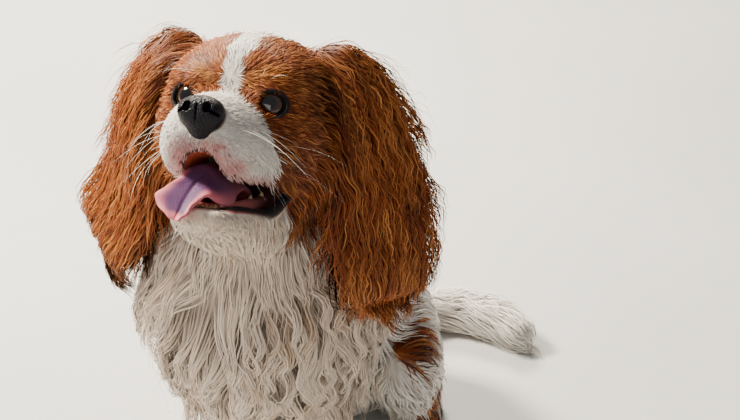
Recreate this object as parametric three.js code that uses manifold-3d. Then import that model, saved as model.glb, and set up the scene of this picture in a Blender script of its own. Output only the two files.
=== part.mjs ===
// A small spaniel with long ears, sitting with its head raised and its mouth open.
// Life size, in millimetres, +Z up. The dog faces -Y, so its left side is towards +X.
// The origin is on the floor, at the middle of the flat that the rump rests on.
import * as THREE from 'three';
import { LoftGeometry } from 'three/addons/geometries/LoftGeometry.js';
import { mergeVertices } from 'three/addons/utils/BufferGeometryUtils.js';
import Module from 'manifold-3d';

const wasm = await Module();
wasm.setup();

// Driving dimensions
const GAP = 0.3; // clearance between neighbouring nodes
const FLOOR_BLOCK = 500; // block that trims whatever would reach below the floor
const LEFT = 1;
const RIGHT = -1;

const UP = [0, 0, 1];
const AHEAD = [0, -1, 0];

// The head: where the midpoint between the eyes is, and how the head is turned
const HEAD = {
  eyesAt: [-40, -188, 368],
  pitch: 35.6, // degrees, nose raised
  yaw: 12.2, // nose turned to the dog's right
  roll: -2.7,
};

// Forms of the head in its own frame: x to the dog's left, y towards the back of the skull,
// z up, from the midpoint between the eyes. Each is a centre and three half sizes.
const SKULL_FORMS = [
  { at: [0, 40, 8], half: [45, 48, 38] }, // cranium with its longer hair
  { at: [0, 18, 17], half: [34, 24, 21] }, // forehead
  { at: [0, -27, -13], half: [14, 22, 12.5] }, // bridge of the muzzle
  { at: [0, 46, -36], half: [28, 32, 24] }, // throat
];
const PAIRED_SKULL_FORMS = [
  { at: [20, 5, 13], half: [15, 12, 9] }, // brow
  { at: [33, 22, -14], half: [17, 28, 21] }, // cheek
  { at: [13, -31, -27.5], half: [11.5, 15.5, 15.5] }, // whisker pad
  { at: [19, -9, -31], half: [10, 23, 15] }, // flew, the hanging upper lip
  { at: [27, 30, -32], half: [17, 22, 22] }, // jaw muscle
];
const JAW_ASIDE = 4.5; // how far the open jaw hangs towards the dog's left
const JAW_FORMS = [
  { at: [0, -27, -70], half: [9, 10, 5] }, // chin
  { at: [0, 0, -69], half: [13, 28, 7] }, // floor of the mouth
  { at: [0, 24, -65], half: [23, 30, 18] }, // front of the throat
];
const PAIRED_JAW_FORMS = [
  { at: [10, -15, -69], half: [7, 18, 6] }, // under the lower lip
  { at: [18, 8, -63], half: [9, 22, 10] }, // side of the jaw
];
const BLEND = 5; // how softly neighbouring forms flow together
const SHORT_COAT = 1.5; // depth of the short hair that the head's forms are clad in
const SKULL_AXIS = { back: [0, 58, 2], front: [0, -20, -18] };
const JAW_AXIS = { back: [JAW_ASIDE, 30, -64], front: [JAW_ASIDE, -20, -69.5] };
// Spaces between the jaws, [x, y, z, half width, half height]: the vault under the palate
// and the gape between the lips
const VAULT = [
  [0, 20, -47, 8, 4],
  [0, 0, -45, 11, 8],
  [0, -20, -45.5, 11.5, 11],
  [0, -44, -48, 10.5, 14],
  [0, -62, -49, 11, 17],
];
const GAPE = [
  [0, 16, -47.5, 40, 1.5],
  [0, 6, -52, 43, 7],
  [0, -8, -55.5, 44, 11],
  [0, -24, -57, 38, 10.5],
  [0, -38, -56.5, 38, 10],
  [0, -50, -55, 38, 9],
  [0, -66, -54, 38, 9],
];
// Rolls of flesh on the dog's left side of the jaw, [x, y, z, radius]
const LOWER_LIP = [
  [0, -40, -67, 2],
  [9, -37, -66.5, 2.2],
  [17, -30, -64, 2.8],
  [22.5, -18, -64.5, 3.4],
  [26, -5, -62.5, 3.4],
  [29, 8, -55, 3],
  [31, 20, -46, 2],
];
const GUM = [
  [0, -32, -66, 4.5],
  [9, -29, -65, 4.5],
  [15, -16, -62, 5],
  [17.5, 0, -59, 5.5],
  [19, 14, -53, 5],
];
const EYE = { at: [23.5, -1.5, -0.5], radius: 11, opening: [7.4, 6.5], lid: 1.9, turn: 20 };
const NOSE = { at: [0, -50, -14.5], half: [13.5, 9, 10] };
const NOSTRIL = { at: [6, -58.5, -12], half: [3, 6, 2.8] };
// The tongue: its right edge, the channel along its middle, its left edge and its thickness
const TONGUE = [
  [[-16, 12, -52], [0, 12, -53], [16, 12, -53], 7],
  [[-16, -4, -47], [1, -4, -45], [16, -4, -50], 7],
  [[-15, -18, -45], [1, -16, -42], [16, -18, -55], 6.5],
  [[-14, -28, -45.5], [1, -25, -42.5], [17.7, -28, -62], 6],
  [[-12, -36, -47], [0, -30, -46.5], [14.5, -37, -62.5], 5.5],
  [[-13, -42.5, -51], [-2, -36, -51], [10.3, -44.5, -59.2], 5],
  [[-17, -48, -56], [-2.7, -42, -57.3], [6.4, -49, -60.3], 4.6],
  [[-20, -53.5, -61], [-3, -48, -63.5], [3.8, -54, -65.3], 4.2],
  [[-15.5, -57, -67], [-3.5, -53, -69], [2, -57.5, -70], 3.6],
  [[-9, -59, -72], [-4, -57, -72.8], [-0.6, -59.5, -74], 2.8],
];
const TOOTH = { tall: 6.4, radius: 1.9, root: 3 };
// Lower teeth that the open mouth shows, [x, y, z, size]
const TEETH = [
  [1.2, -37.5, -64.5, 0.1],
  [3.4, -37, -64.5, 0.1],
  [5.6, -36, -64.3, 0.14],
  [8.5, -33, -63, 0.35],
  [15.5, -9, -58, 0.55],
  [18, 3, -53.5, 0.35],
];

// Spines of the soft forms. A station is [x, y, z, half width, half depth, depth of the coat],
// where the half sizes are those of the flesh and the coat lies over it.
const CHEST_X = -32;
const TORSO = [
  [0, 7, 27, 46, 42, 7],
  [0, 4, 62, 56, 50, 8],
  [-6, -24, 114, 56, 56, 10],
  [-15, -62, 160, 59, 62, 12],
  [-24, -96, 196, 58, 64, 12],
];
const CHEST = [
  [-37, -134, 150, 50, 46, 14],
  [-37, -137, 176, 63, 60, 17],
  [-37, -139, 208, 68, 66, 19],
  [-37, -141, 238, 65, 62, 19],
  [-35, -146, 262, 44, 50, 13],
];
const NECK = [
  [-33, -138, 226, 42, 46, 6],
  [-34, -146, 258, 46, 50, 14],
  [-35, -146, 290, 44, 46, 15],
  [-36, -140, 318, 40, 42, 11],
  [-36, -128, 342, 34, 34, 8],
];
const FORELEG_X = 36; // each foreleg's distance from the middle of the chest
const FORELEG = [
  [2, -118, 186, 18, 30, 8],
  [1, -126, 152, 16, 23, 8],
  [1, -135, 112, 13, 15, 7],
  [0, -143, 72, 11.5, 12.5, 6],
  [0, -150, 42, 12.5, 13.5, 4],
  [0, -154, 24, 13, 14, 3],
];
const FOREPAW = [
  [0, -148, 13, 14, 13.5, 2],
  [0, -166, 12, 17, 12.5, 2],
  [0, -188, 9, 17, 9.5, 2],
];
const HIND_X = 30; // each hip's distance from the middle of the pelvis
const THIGH = [
  [0, 14, 66, 30, 46, 8],
  [14, -20, 82, 27, 47, 9],
  [22, -54, 92, 22, 37, 9],
  [26, -80, 96, 15, 22, 7],
];
const SHANK = [
  [26, -78, 92, 15, 19, 7],
  [28, -50, 62, 15, 20, 8],
  [30, -20, 36, 13, 17, 7],
  [31, 2, 22, 11, 14, 5],
];
const HINDFOOT = [
  [31, 6, 12, 12, 13, 3],
  [32, -24, 11, 13, 12, 3],
  [34, -58, 11, 16, 11.5, 3],
  [34, -87, 9, 17, 9.5, 2],
];
const TOES = [-12, -4.3, 4.3, 12]; // places of the toes across a paw
const TOE = [5.4, 11, 7.5];
const CLAW = { length: 7, radius: 1.7 };
const TAIL_ROOT = [
  [2, 44, 44, 12, 12, 5],
  [16, 70, 30, 10, 10, 9],
  [36, 92, 21, 9, 8, 12],
  [58, 105, 17, 8, 7, 14],
];
const TAIL_PLUME = [
  [61, 106, 17, 8, 7, 15],
  [92, 108, 16, 7, 6, 17],
  [120, 98, 16, 5, 4, 16],
  [140, 82, 15, 3, 3, 11],
];

// The ears: a leather flap under long hair. The sizes are those of the flap's core, and outward
// is the way that the flap's outer face looks.
const EAR_LEFT = {
  outward: [0.6, -0.8, 0],
  stations: [
    [3, -146, 373, 12, 6, 8],
    [20, -152, 363, 22, 8, 11],
    [36, -165, 325, 28, 7, 10],
    [43, -177, 292, 32, 5, 10],
    [46, -185, 264, 30, 4, 11],
    [46, -189, 246, 22, 3, 10],
  ],
};
const EAR_RIGHT = {
  outward: [-0.83, -0.55, 0],
  stations: [
    [-70, -132, 372, 12, 6, 8],
    [-87, -136, 363, 22, 8, 11],
    [-104, -145, 326, 28, 7, 10],
    [-110, -152, 296, 32, 5, 10],
    [-121, -154, 270, 30, 4, 11],
    [-131, -154, 253, 22, 3, 10],
  ],
};

// The long coat. Each row of locks lies over a soft form: t is where the roots are along its
// spine (0 to 1), reach how far the locks run along it, angles where they are round it in
// degrees (90 is the form's front), lock the half width and thickness, wave and drift the
// sideways swing in degrees, and rise the height of the tips over the flesh, in coat depths.
const CORE = 0.42; // how far up the coat its solid core reaches
const CHEST_ROWS = [
  { t: 0.95, reach: -0.42, angles: [2, 30, 60, 90, 120, 150, 178], lock: [12, 7] },
  { t: 0.72, reach: -0.46, angles: [-12, 18, 50, 76, 104, 132, 164], lock: [12.5, 8] },
  { t: 0.46, reach: -0.46, angles: [2, 32, 62, 90, 118, 148, 178], lock: [12, 8] },
  { t: 0.22, reach: -0.42, angles: [24, 54, 80, 100, 126, 156], lock: [10.5, 7] },
  { t: 0.06, reach: -0.3, angles: [60, 90, 120], lock: [8.5, 6] },
];
const NECK_ROWS = [
  { t: 0.94, reach: -0.36, angles: [-30, 210, 270], lock: [14, 5] },
  { t: 0.72, reach: -0.36, angles: [-5, 185, 235, 305], lock: [15, 6] },
];
const TORSO_ROWS = [
  { t: 0.8, reach: -0.36, angles: [-20, 160, 200, 245, 295, 340], lock: [13, 4] },
  { t: 0.5, reach: -0.34, angles: [10, 170, 215, 270, 325], lock: [13, 4] },
  { t: 0.32, reach: -0.24, angles: [270], lock: [14, 4] },
];
const FORELEG_ROWS = [
  { t: 0.04, reach: 0.32, angles: [235, 270, 305], lock: [6.5, 4], rise: 2.2 },
  { t: 0.34, reach: 0.32, angles: [250, 290], lock: [6, 4], rise: 2.2 },
];
const THIGH_ROWS = [
  { t: 0.62, reach: -0.5, angles: [30, 90], lock: [12, 4] },
  { t: 0.34, reach: -0.5, angles: [-12, 42, 100], lock: [12, 5], rise: 1.5 },
];
const TAIL_ROOT_ROWS = [
  { t: 0.15, reach: 0.6, angles: [90], lock: [9, 4] },
  { t: 0.5, reach: 0.6, angles: [0, 60, 120, 180], lock: [8, 4] },
];
const TAIL_PLUME_ROWS = [
  { t: 0.0, reach: 0.45, angles: [0, 90, 180], lock: [10, 5] },
  { t: 0.33, reach: 0.48, angles: [-20, 45, 115, 190], lock: [9.5, 5] },
  { t: 0.66, reach: 0.52, angles: [-15, 45, 110, 195], lock: [8, 4.5] },
];
const EAR_ROWS = [
  { t: 0.14, reach: 0.4, angles: [60, 120], lock: [12, 4], rise: 0.7 },
  { t: 0.36, reach: 0.4, angles: [5, 65, 115, 175], lock: [12, 5] },
  { t: 0.58, reach: 0.4, angles: [-5, 60, 120, 185], lock: [13, 5] },
  { t: 0.78, reach: 0.36, angles: [-8, 42, 92, 142, 190], lock: [12, 4.5] },
];
const PAW_ROWS = [
  { t: 0.1, reach: -0.5, angles: [90], lock: [9, 3.5], rise: 3 },
];

// Colours and roughness of the finishes
const CHESTNUT = { color: 0x9a4a1e, roughness: 0.75 };
const WHITE = { color: 0xe9e2d6, roughness: 0.8 };
const BLACK = { color: 0x17151a, roughness: 0.35 };
const PINK = { color: 0xb3617a, roughness: 0.4 };
const BROWN_EYE = { color: 0x1f120c, roughness: 0.06 };

// Small helpers for vectors and solids
const vector = ([x, y, z]) => new THREE.Vector3(x, y, z);
const mirrored = ([x, y, z], side) => [x * side, y, z];

function solid(geometry) {
  const bare = new THREE.BufferGeometry().copy(geometry);
  bare.deleteAttribute('normal');
  bare.deleteAttribute('uv');
  const merged = mergeVertices(bare, 1e-5);
  const vertProperties = new Float32Array(merged.attributes.position.array);
  const triVerts = new Uint32Array(merged.index.array);
  return new wasm.Manifold(new wasm.Mesh({ numProp: 3, vertProperties, triVerts }));
}

function geometryOf(manifold) {
  const mesh = manifold.getMesh();
  const geometry = new THREE.BufferGeometry();
  geometry.setAttribute('position', new THREE.BufferAttribute(mesh.vertProperties.slice(), 3));
  geometry.setIndex(new THREE.BufferAttribute(mesh.triVerts.slice(), 1));
  geometry.computeVertexNormals();
  return geometry;
}

function joined(solids) {
  return solids.reduce((whole, piece) => whole.add(piece));
}

// The largest closed surface of a solid: a sealed hollow is filled and a loose scrap is dropped
function largest(manifold) {
  const pieces = manifold.decompose();
  return pieces.reduce((best, piece) => (piece.volume() > best.volume() ? piece : best));
}

function without(manifold, others) {
  return others.reduce((rest, other) => rest.subtract(other), manifold);
}

function ball(at, half, { matrix, around = 14, down = 9 } = {}) {
  const geometry = new THREE.SphereGeometry(1, around, down);
  geometry.rotateX(Math.PI / 2);
  geometry.scale(...half);
  geometry.translate(...at);
  if (matrix) geometry.applyMatrix4(matrix);
  return solid(geometry);
}

function aboveFloor(manifold) {
  const block = new THREE.BoxGeometry(FLOOR_BLOCK * 2, FLOOR_BLOCK * 2, FLOOR_BLOCK);
  block.translate(0, 0, -FLOOR_BLOCK / 2);
  return manifold.subtract(solid(block));
}

// Frames along a smooth spine: each has a point, its direction, and the two section axes.
// front is the way that the section's depth axis leans.
function framesAlong(stations, front, steps) {
  const centres = new THREE.CatmullRomCurve3(stations.map(vector));
  const sizes = new THREE.CatmullRomCurve3(stations.map(([, , , a, b, c = 0]) => vector([a, b, c])));
  const count = (stations.length - 1) * steps;
  const frames = [];
  for (let i = 0; i <= count; i += 1) {
    const point = centres.getPoint(i / count);
    const ahead = centres.getTangent(i / count);
    const depth = vector(front).projectOnPlane(ahead).normalize();
    const width = depth.clone().cross(ahead);
    const size = sizes.getPoint(i / count);
    frames.push({ point, ahead, width, depth, size });
  }
  return frames;
}

function centreOf(points) {
  const sum = points.reduce((total, point) => total.add(point), new THREE.Vector3());
  return sum.divideScalar(points.length);
}

function section(centre, frame, halfWidth, halfDepth, sides) {
  const ring = [];
  for (let k = 0; k < sides; k += 1) {
    const angle = (2 * Math.PI * k) / sides;
    const point = centre.clone();
    point.addScaledVector(frame.width, Math.cos(angle) * halfWidth);
    point.addScaledVector(frame.depth, Math.sin(angle) * halfDepth);
    ring.push(point);
  }
  return ring;
}

// A rounded solid along a spine of stations. coat says how much of the coat's depth is added,
// grow widens the whole solid evenly, and round is how far the ends bulge.
function loft(stations, options = {}) {
  const { front = AHEAD, steps = 2, sides = 12, coat = 0, grow = 0, round = 0.7, matrix } = options;
  const frames = framesAlong(stations, front, steps);
  const sections = [];
  const halves = (frame) => [
    frame.size.x + frame.size.z * coat + grow,
    frame.size.y + frame.size.z * coat + grow,
  ];
  const addEnd = (frame, way, tilts) => {
    const [halfWidth, halfDepth] = halves(frame);
    const bulge = Math.min(halfWidth, halfDepth) * round;
    for (const tilt of tilts) {
      const angle = THREE.MathUtils.degToRad(tilt);
      const centre = frame.point.clone().addScaledVector(frame.ahead, way * Math.sin(angle) * bulge);
      const shrink = Math.cos(angle);
      sections.push(section(centre, frame, halfWidth * shrink, halfDepth * shrink, sides));
    }
  };
  addEnd(frames[0], -1, [72, 38]);
  for (const frame of frames) sections.push(section(frame.point, frame, ...halves(frame), sides));
  addEnd(frames[frames.length - 1], 1, [38, 72]);
  const geometry = new LoftGeometry(sections, { capStart: true, capEnd: true });
  if (matrix) geometry.applyMatrix4(matrix);
  return solid(geometry);
}

// A place over a soft form: t along its spine, and on past its ends, degrees round it,
// and a height over the flesh in coat depths
function placeOver(stations, front) {
  const centres = new THREE.CatmullRomCurve3(stations.map(vector));
  const sizes = new THREE.CatmullRomCurve3(stations.map(([, , , a, b, c]) => vector([a, b, c])));
  const length = centres.getLength();
  return (t, degrees, rise) => {
    const inside = THREE.MathUtils.clamp(t, 0, 1);
    const ahead = centres.getTangent(inside);
    const point = centres.getPoint(inside).addScaledVector(ahead, (t - inside) * length);
    const depth = vector(front).projectOnPlane(ahead).normalize();
    const width = depth.clone().cross(ahead);
    const size = sizes.getPoint(inside);
    const angle = THREE.MathUtils.degToRad(degrees);
    point.addScaledVector(width, Math.cos(angle) * (size.x + rise * size.z));
    return point.addScaledVector(depth, Math.sin(angle) * (size.y + rise * size.z));
  };
}

// Where along a lock its sections are, how wide each is and how high it lies
const LOCK_STEPS = [
  { s: 0, wide: 0.55, high: 0 },
  { s: 0.32, wide: 1, high: 0.85 },
  { s: 0.7, wide: 0.8, high: 1 },
  { s: 1, wide: 0.06, high: 0.95 },
];

// A lock of hair: a three-sided blade, flat underneath, that rises out of the core,
// swings along the lie of the coat and tapers to its tip
function lock(place, { t, reach, angle, swing, drift, phase, half, thick, rise, grow }) {
  const centreAt = ({ s, high }, extra = 0) => {
    const degrees = angle + drift * s + swing * Math.sin(phase + s * 5);
    return place(t + reach * s, degrees, high * rise + extra);
  };
  const last = LOCK_STEPS.length - 1;
  const centres = LOCK_STEPS.map((step) => centreAt(step));
  const sections = LOCK_STEPS.map((step, i) => {
    const { wide } = step;
    const before = centres[Math.max(i - 1, 0)];
    const after = centres[Math.min(i + 1, last)];
    const ahead = after.clone().sub(before).normalize();
    const outward = centreAt(step, 0.5).sub(centres[i]).projectOnPlane(ahead).normalize();
    const side = outward.clone().cross(ahead);
    const across = half * wide + grow * 3;
    const above = thick * 0.7 * (0.3 + 0.7 * wide) + grow * 1.3;
    const below = thick * 0.3 * wide + grow;
    const past = (i === last) - (i === 0);
    const middle = centres[i].clone().addScaledVector(ahead, past * grow * 2);
    const corner = (a, b) => middle.clone().addScaledVector(side, a).addScaledVector(outward, b);
    return [corner(across, -below), corner(0, above), corner(-across, -below)];
  });
  return solid(new LoftGeometry(sections, { capStart: true, capEnd: true }));
}

// A small generator of even numbers from 0 to 1, the same on every run
function seeded(seed) {
  let state = seed;
  return () => {
    state = (state * 1103515245 + 12345) % 2147483648;
    return state / 2147483648;
  };
}

// All the locks of a soft form, joined to its core
function coated(core, stations, front, rows, { seed, grow = 0, flip = false }) {
  const place = placeOver(stations, front);
  const random = seeded(seed);
  const locks = rows.flatMap((row) => row.angles.map((angle) => lock(place, {
    t: row.t + (random() - 0.5) * 0.05,
    reach: row.reach * (0.9 + 0.25 * random()),
    angle: (flip ? 180 - angle : angle) + (random() - 0.5) * 6,
    swing: (row.swing ?? 4) * (0.6 + 0.8 * random()),
    drift: (random() - 0.5) * (row.drift ?? 16),
    phase: random() * 6,
    half: row.lock[0] * (0.9 + 0.25 * random()),
    thick: row.lock[1],
    rise: (row.rise ?? 1) * (0.92 + 0.16 * random()),
    grow,
  })));
  return joined([core, ...locks]);
}

// The head's own frame in the dog's
function headMatrix() {
  const { degToRad } = THREE.MathUtils;
  const matrix = new THREE.Matrix4().makeTranslation(...HEAD.eyesAt);
  matrix.multiply(new THREE.Matrix4().makeRotationZ(-degToRad(HEAD.yaw)));
  matrix.multiply(new THREE.Matrix4().makeRotationX(-degToRad(HEAD.pitch)));
  matrix.multiply(new THREE.Matrix4().makeRotationY(degToRad(HEAD.roll)));
  return matrix;
}
const TO_WORLD = headMatrix();

function bothSides(single, paired) {
  const sides = paired.flatMap((form) => [form, { ...form, at: mirrored(form.at, RIGHT) }]);
  return [...single, ...sides];
}

// How far a point is outside the smooth union of the forms: below zero inside
function distanceToForms(point, forms) {
  let sum = 0;
  for (const { at, half } of forms) {
    const scaled = Math.hypot(
      (point.x - at[0]) / half[0],
      (point.y - at[1]) / half[1],
      (point.z - at[2]) / half[2],
    );
    const distance = (scaled - 1) * Math.min(...half);
    sum += Math.exp(-distance / BLEND);
  }
  return -BLEND * Math.log(sum);
}

// The outermost point of the forms along a ray from a place on the axis
function surfacePoint(origin, direction, forms, grow) {
  const point = new THREE.Vector3();
  let reach = 120;
  for (let step = 0; step < 200; step += 1) {
    point.copy(origin).addScaledVector(direction, reach);
    const distance = distanceToForms(point, forms) - grow;
    if (distance < 0.02) break;
    reach -= Math.max(distance * 0.6, 0.02);
  }
  return point;
}

// A closed skin over the forms: rings whose rays fan out from an axis,
// backwards round its back end, square to it along its length and forwards round its front
function skinOver(forms, axis, { sides, along, cap, grow = 0 }) {
  const back = vector(axis.back);
  const front = vector(axis.front);
  const ahead = front.clone().sub(back).normalize();
  const depth = vector(UP).projectOnPlane(ahead).normalize();
  const width = depth.clone().cross(ahead);
  const rings = cap.map((tilt) => ({ origin: back, tilt: -tilt }));
  for (let i = 0; i <= along; i += 1) rings.push({ origin: back.clone().lerp(front, i / along), tilt: 0 });
  for (const tilt of [...cap].reverse()) rings.push({ origin: front, tilt });
  const sections = rings.map(({ origin, tilt }) => {
    const ring = [];
    const lean = THREE.MathUtils.degToRad(tilt);
    for (let k = 0; k < sides; k += 1) {
      const angle = (2 * Math.PI * k) / sides;
      const direction = width.clone().multiplyScalar(Math.cos(angle) * Math.cos(lean));
      direction.addScaledVector(depth, Math.sin(angle) * Math.cos(lean));
      direction.addScaledVector(ahead, Math.sin(lean));
      ring.push(surfacePoint(origin, direction, forms, grow));
    }
    return ring;
  });
  const geometry = new LoftGeometry(sections, { capStart: true, capEnd: true });
  return solid(geometry.applyMatrix4(TO_WORLD));
}

function mouthSpaces() {
  const shape = { front: UP, steps: 1, sides: 9, round: 0.3, matrix: TO_WORLD };
  return [loft(VAULT, shape), loft(GAPE, shape)];
}

function eyeball(side, grow = 0) {
  const radius = EYE.radius + grow;
  return ball(mirrored(EYE.at, side), [radius, radius, radius], { matrix: TO_WORLD, around: 12, down: 8 });
}

// The opening between the lids, cut through the skin in front of the eyeball
function eyeOpening(side) {
  const geometry = new THREE.SphereGeometry(1, 12, 6);
  geometry.scale(EYE.opening[0], EYE.radius, EYE.opening[1]);
  geometry.translate(0, -EYE.radius * 1.2, 0);
  geometry.rotateZ(THREE.MathUtils.degToRad(EYE.turn) * side);
  geometry.translate(...mirrored(EYE.at, side));
  return solid(geometry.applyMatrix4(TO_WORLD));
}

function nosePad(grow = 0) {
  const half = NOSE.half.map((size) => size + grow);
  return ball(NOSE.at, half, { matrix: TO_WORLD, around: 12, down: 8 });
}

function makeNose() {
  const shape = { matrix: TO_WORLD, around: 8, down: 6 };
  const nostrils = [LEFT, RIGHT].map((side) => ball(mirrored(NOSTRIL.at, side), NOSTRIL.half, shape));
  return largest(without(nosePad(), nostrils));
}

function skull(grow = 0) {
  const forms = bothSides(SKULL_FORMS, PAIRED_SKULL_FORMS);
  const cap = [78, 58, 38, 19];
  return skinOver(forms, SKULL_AXIS, { sides: 24, along: 9, cap, grow: grow + SHORT_COAT });
}

// The lids are a dome over each eyeball with an opening cut in it
function makeHead() {
  const lids = [LEFT, RIGHT].map((side) => eyeball(side, EYE.lid));
  const openings = [LEFT, RIGHT].map((side) => eyeOpening(side));
  const sockets = [LEFT, RIGHT].map((side) => eyeball(side, GAP));
  const spaces = [...openings, ...sockets, ...mouthSpaces(), nosePad(GAP), tongue(GAP)];
  return largest(without(joined([skull(), ...lids]), spaces));
}

function jaw(grow = 0) {
  const forms = bothSides(JAW_FORMS, PAIRED_JAW_FORMS);
  const aside = forms.map(({ at: [x, ...rest], half }) => ({ at: [x + JAW_ASIDE, ...rest], half }));
  return skinOver(aside, JAW_AXIS, { sides: 14, along: 6, cap: [70, 38], grow: grow + SHORT_COAT });
}

// A roll of flesh right round the jaw, along a line that is given for one side
function roll(line) {
  const placed = (side) => line.map(([x, y, z, radius]) => [JAW_ASIDE + side * x, y, z, radius, radius]);
  const stations = [...placed(RIGHT).reverse(), ...placed(LEFT).slice(1)];
  return loft(stations, { front: UP, steps: 1, sides: 5, matrix: TO_WORLD });
}

function tooth([x, y, z, size], side) {
  const height = TOOTH.tall * (size + 0.25);
  const geometry = new THREE.ConeGeometry(TOOTH.radius * (0.6 + size), height + TOOTH.root, 5);
  geometry.rotateX(Math.PI / 2);
  geometry.translate(JAW_ASIDE + side * x, y, z + (height - TOOTH.root) / 2);
  return solid(geometry.applyMatrix4(TO_WORLD));
}

function makeJaw() {
  const bare = without(jaw(), mouthSpaces());
  const teeth = TEETH.flatMap((place) => [tooth(place, LEFT), tooth(place, RIGHT)]);
  const whole = joined([bare, roll(LOWER_LIP), roll(GUM), ...teeth]);
  return largest(without(whole, [skull(GAP), tongue(GAP)]));
}

// A point of the tongue's middle sheet: u runs from -1 at the right edge to 1 at the left
function onTongue([right, middle, left], u) {
  const point = vector(right).multiplyScalar((u * (u - 1)) / 2);
  point.addScaledVector(vector(middle), 1 - u * u);
  return point.addScaledVector(vector(left), (u * (u + 1)) / 2);
}

// The sheet is as thick as each row says, and rounded at its edges and ends
function tongue(grow = 0) {
  const sides = 12;
  const last = TONGUE.length - 1;
  const sections = TONGUE.map((row, i) => {
    const thick = row[3] / 2 + grow;
    const halfWidth = vector(row[0]).distanceTo(vector(row[2])) / 2;
    const before = TONGUE[Math.max(i - 1, 0)];
    const after = TONGUE[Math.min(i + 1, last)];
    return Array.from({ length: sides }, (_, k) => {
      const angle = (2 * Math.PI * k) / sides;
      const u = Math.cos(angle) * (1 + grow / halfWidth);
      const along = onTongue(after, u).sub(onTongue(before, u));
      const across = onTongue(row, u + 0.05).sub(onTongue(row, u - 0.05));
      const above = along.cross(across).normalize();
      return onTongue(row, u).addScaledVector(above, Math.sin(angle) * thick);
    });
  });
  const ends = [[sections[0], sections[1]], [sections[last], sections[last - 1]]];
  const caps = ends.map(([ring, next]) => {
    const middle = centreOf(ring);
    const way = middle.clone().sub(centreOf(next)).normalize();
    return ring.map((point) => point.clone().lerp(middle, 0.35).addScaledVector(way, 1.5 + grow));
  });
  const geometry = new LoftGeometry([caps[0], ...sections, caps[1]], { capStart: true, capEnd: true });
  return solid(geometry.applyMatrix4(TO_WORLD));
}

function torso(grow = 0) {
  const core = loft(TORSO, { sides: 12, coat: CORE, grow });
  return coated(core, TORSO, AHEAD, TORSO_ROWS, { seed: 11, grow });
}

function chest(grow = 0) {
  const core = loft(CHEST, { sides: 14, steps: 1, coat: CORE, grow });
  return coated(core, CHEST, AHEAD, CHEST_ROWS, { seed: 23, grow });
}

function neck(grow = 0) {
  const core = loft(NECK, { steps: 1, coat: CORE, grow });
  return coated(core, NECK, AHEAD, NECK_ROWS, { seed: 37, grow });
}

const shifted = (stations, middle, apart, side) =>
  stations.map(([x, ...rest]) => [middle + side * (apart + x), ...rest]);

function foreleg(side, grow = 0) {
  const stations = shifted(FORELEG, CHEST_X, FORELEG_X, side);
  const core = loft(stations, { coat: CORE, steps: 1, sides: 8, grow });
  return coated(core, stations, AHEAD, FORELEG_ROWS, { seed: 41 + side, grow });
}

function claw(at, lean) {
  const geometry = new THREE.ConeGeometry(CLAW.radius, CLAW.length, 4);
  geometry.translate(0, CLAW.length / 2 - 2, 0);
  geometry.rotateX(Math.PI + lean);
  geometry.translate(...at);
  return solid(geometry);
}

function paw(stations, middle, apart, side, grow) {
  const placed = shifted(stations, middle, apart, side);
  const sole = loft(placed, { front: UP, coat: CORE, steps: 1, sides: 8, grow });
  const slipper = coated(sole, placed, UP, PAW_ROWS, { seed: 53, grow });
  const [x, y] = stations[stations.length - 1];
  const toes = TOES.map((across) => {
    const at = [middle + side * (apart + x) + across, y - 2 + Math.abs(across) * 0.45, TOE[2] - 0.5];
    return ball(at, TOE.map((half) => half + grow), { around: 6, down: 5 });
  });
  const claws = TOES.map((across) => {
    const at = [middle + side * (apart + x) + across, y - 12 + Math.abs(across) * 0.45, 5.5];
    return claw(at, 0.35);
  });
  return joined([slipper, ...toes, ...claws]);
}

function forepaw(side, grow = 0) {
  return paw(FOREPAW, CHEST_X, FORELEG_X, side, grow);
}

function thigh(side, grow = 0) {
  const upper = shifted(THIGH, 0, HIND_X, side);
  const lower = shifted(SHANK, 0, HIND_X, side);
  const shape = { front: UP, coat: CORE, steps: 1, sides: 10, grow };
  const core = joined([loft(upper, shape), loft(lower, shape)]);
  const flip = side === RIGHT;
  return coated(core, upper, UP, THIGH_ROWS, { seed: 61 + side, grow, flip });
}

function hindfoot(side, grow = 0) {
  return paw(HINDFOOT, 0, HIND_X, side, grow);
}

function tailRoot(grow = 0) {
  const core = loft(TAIL_ROOT, { front: UP, coat: CORE, sides: 8, steps: 1, grow });
  return coated(core, TAIL_ROOT, UP, TAIL_ROOT_ROWS, { seed: 71, grow });
}

function tailPlume(grow = 0) {
  const core = loft(TAIL_PLUME, { front: UP, coat: CORE, sides: 8, steps: 1, grow });
  return coated(core, TAIL_PLUME, UP, TAIL_PLUME_ROWS, { seed: 73, grow });
}

function ear({ stations, outward }, seed, grow = 0) {
  const core = loft(stations, { front: outward, sides: 8, steps: 1, coat: CORE, grow });
  return coated(core, stations, outward, EAR_ROWS, { seed, grow });
}

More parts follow.
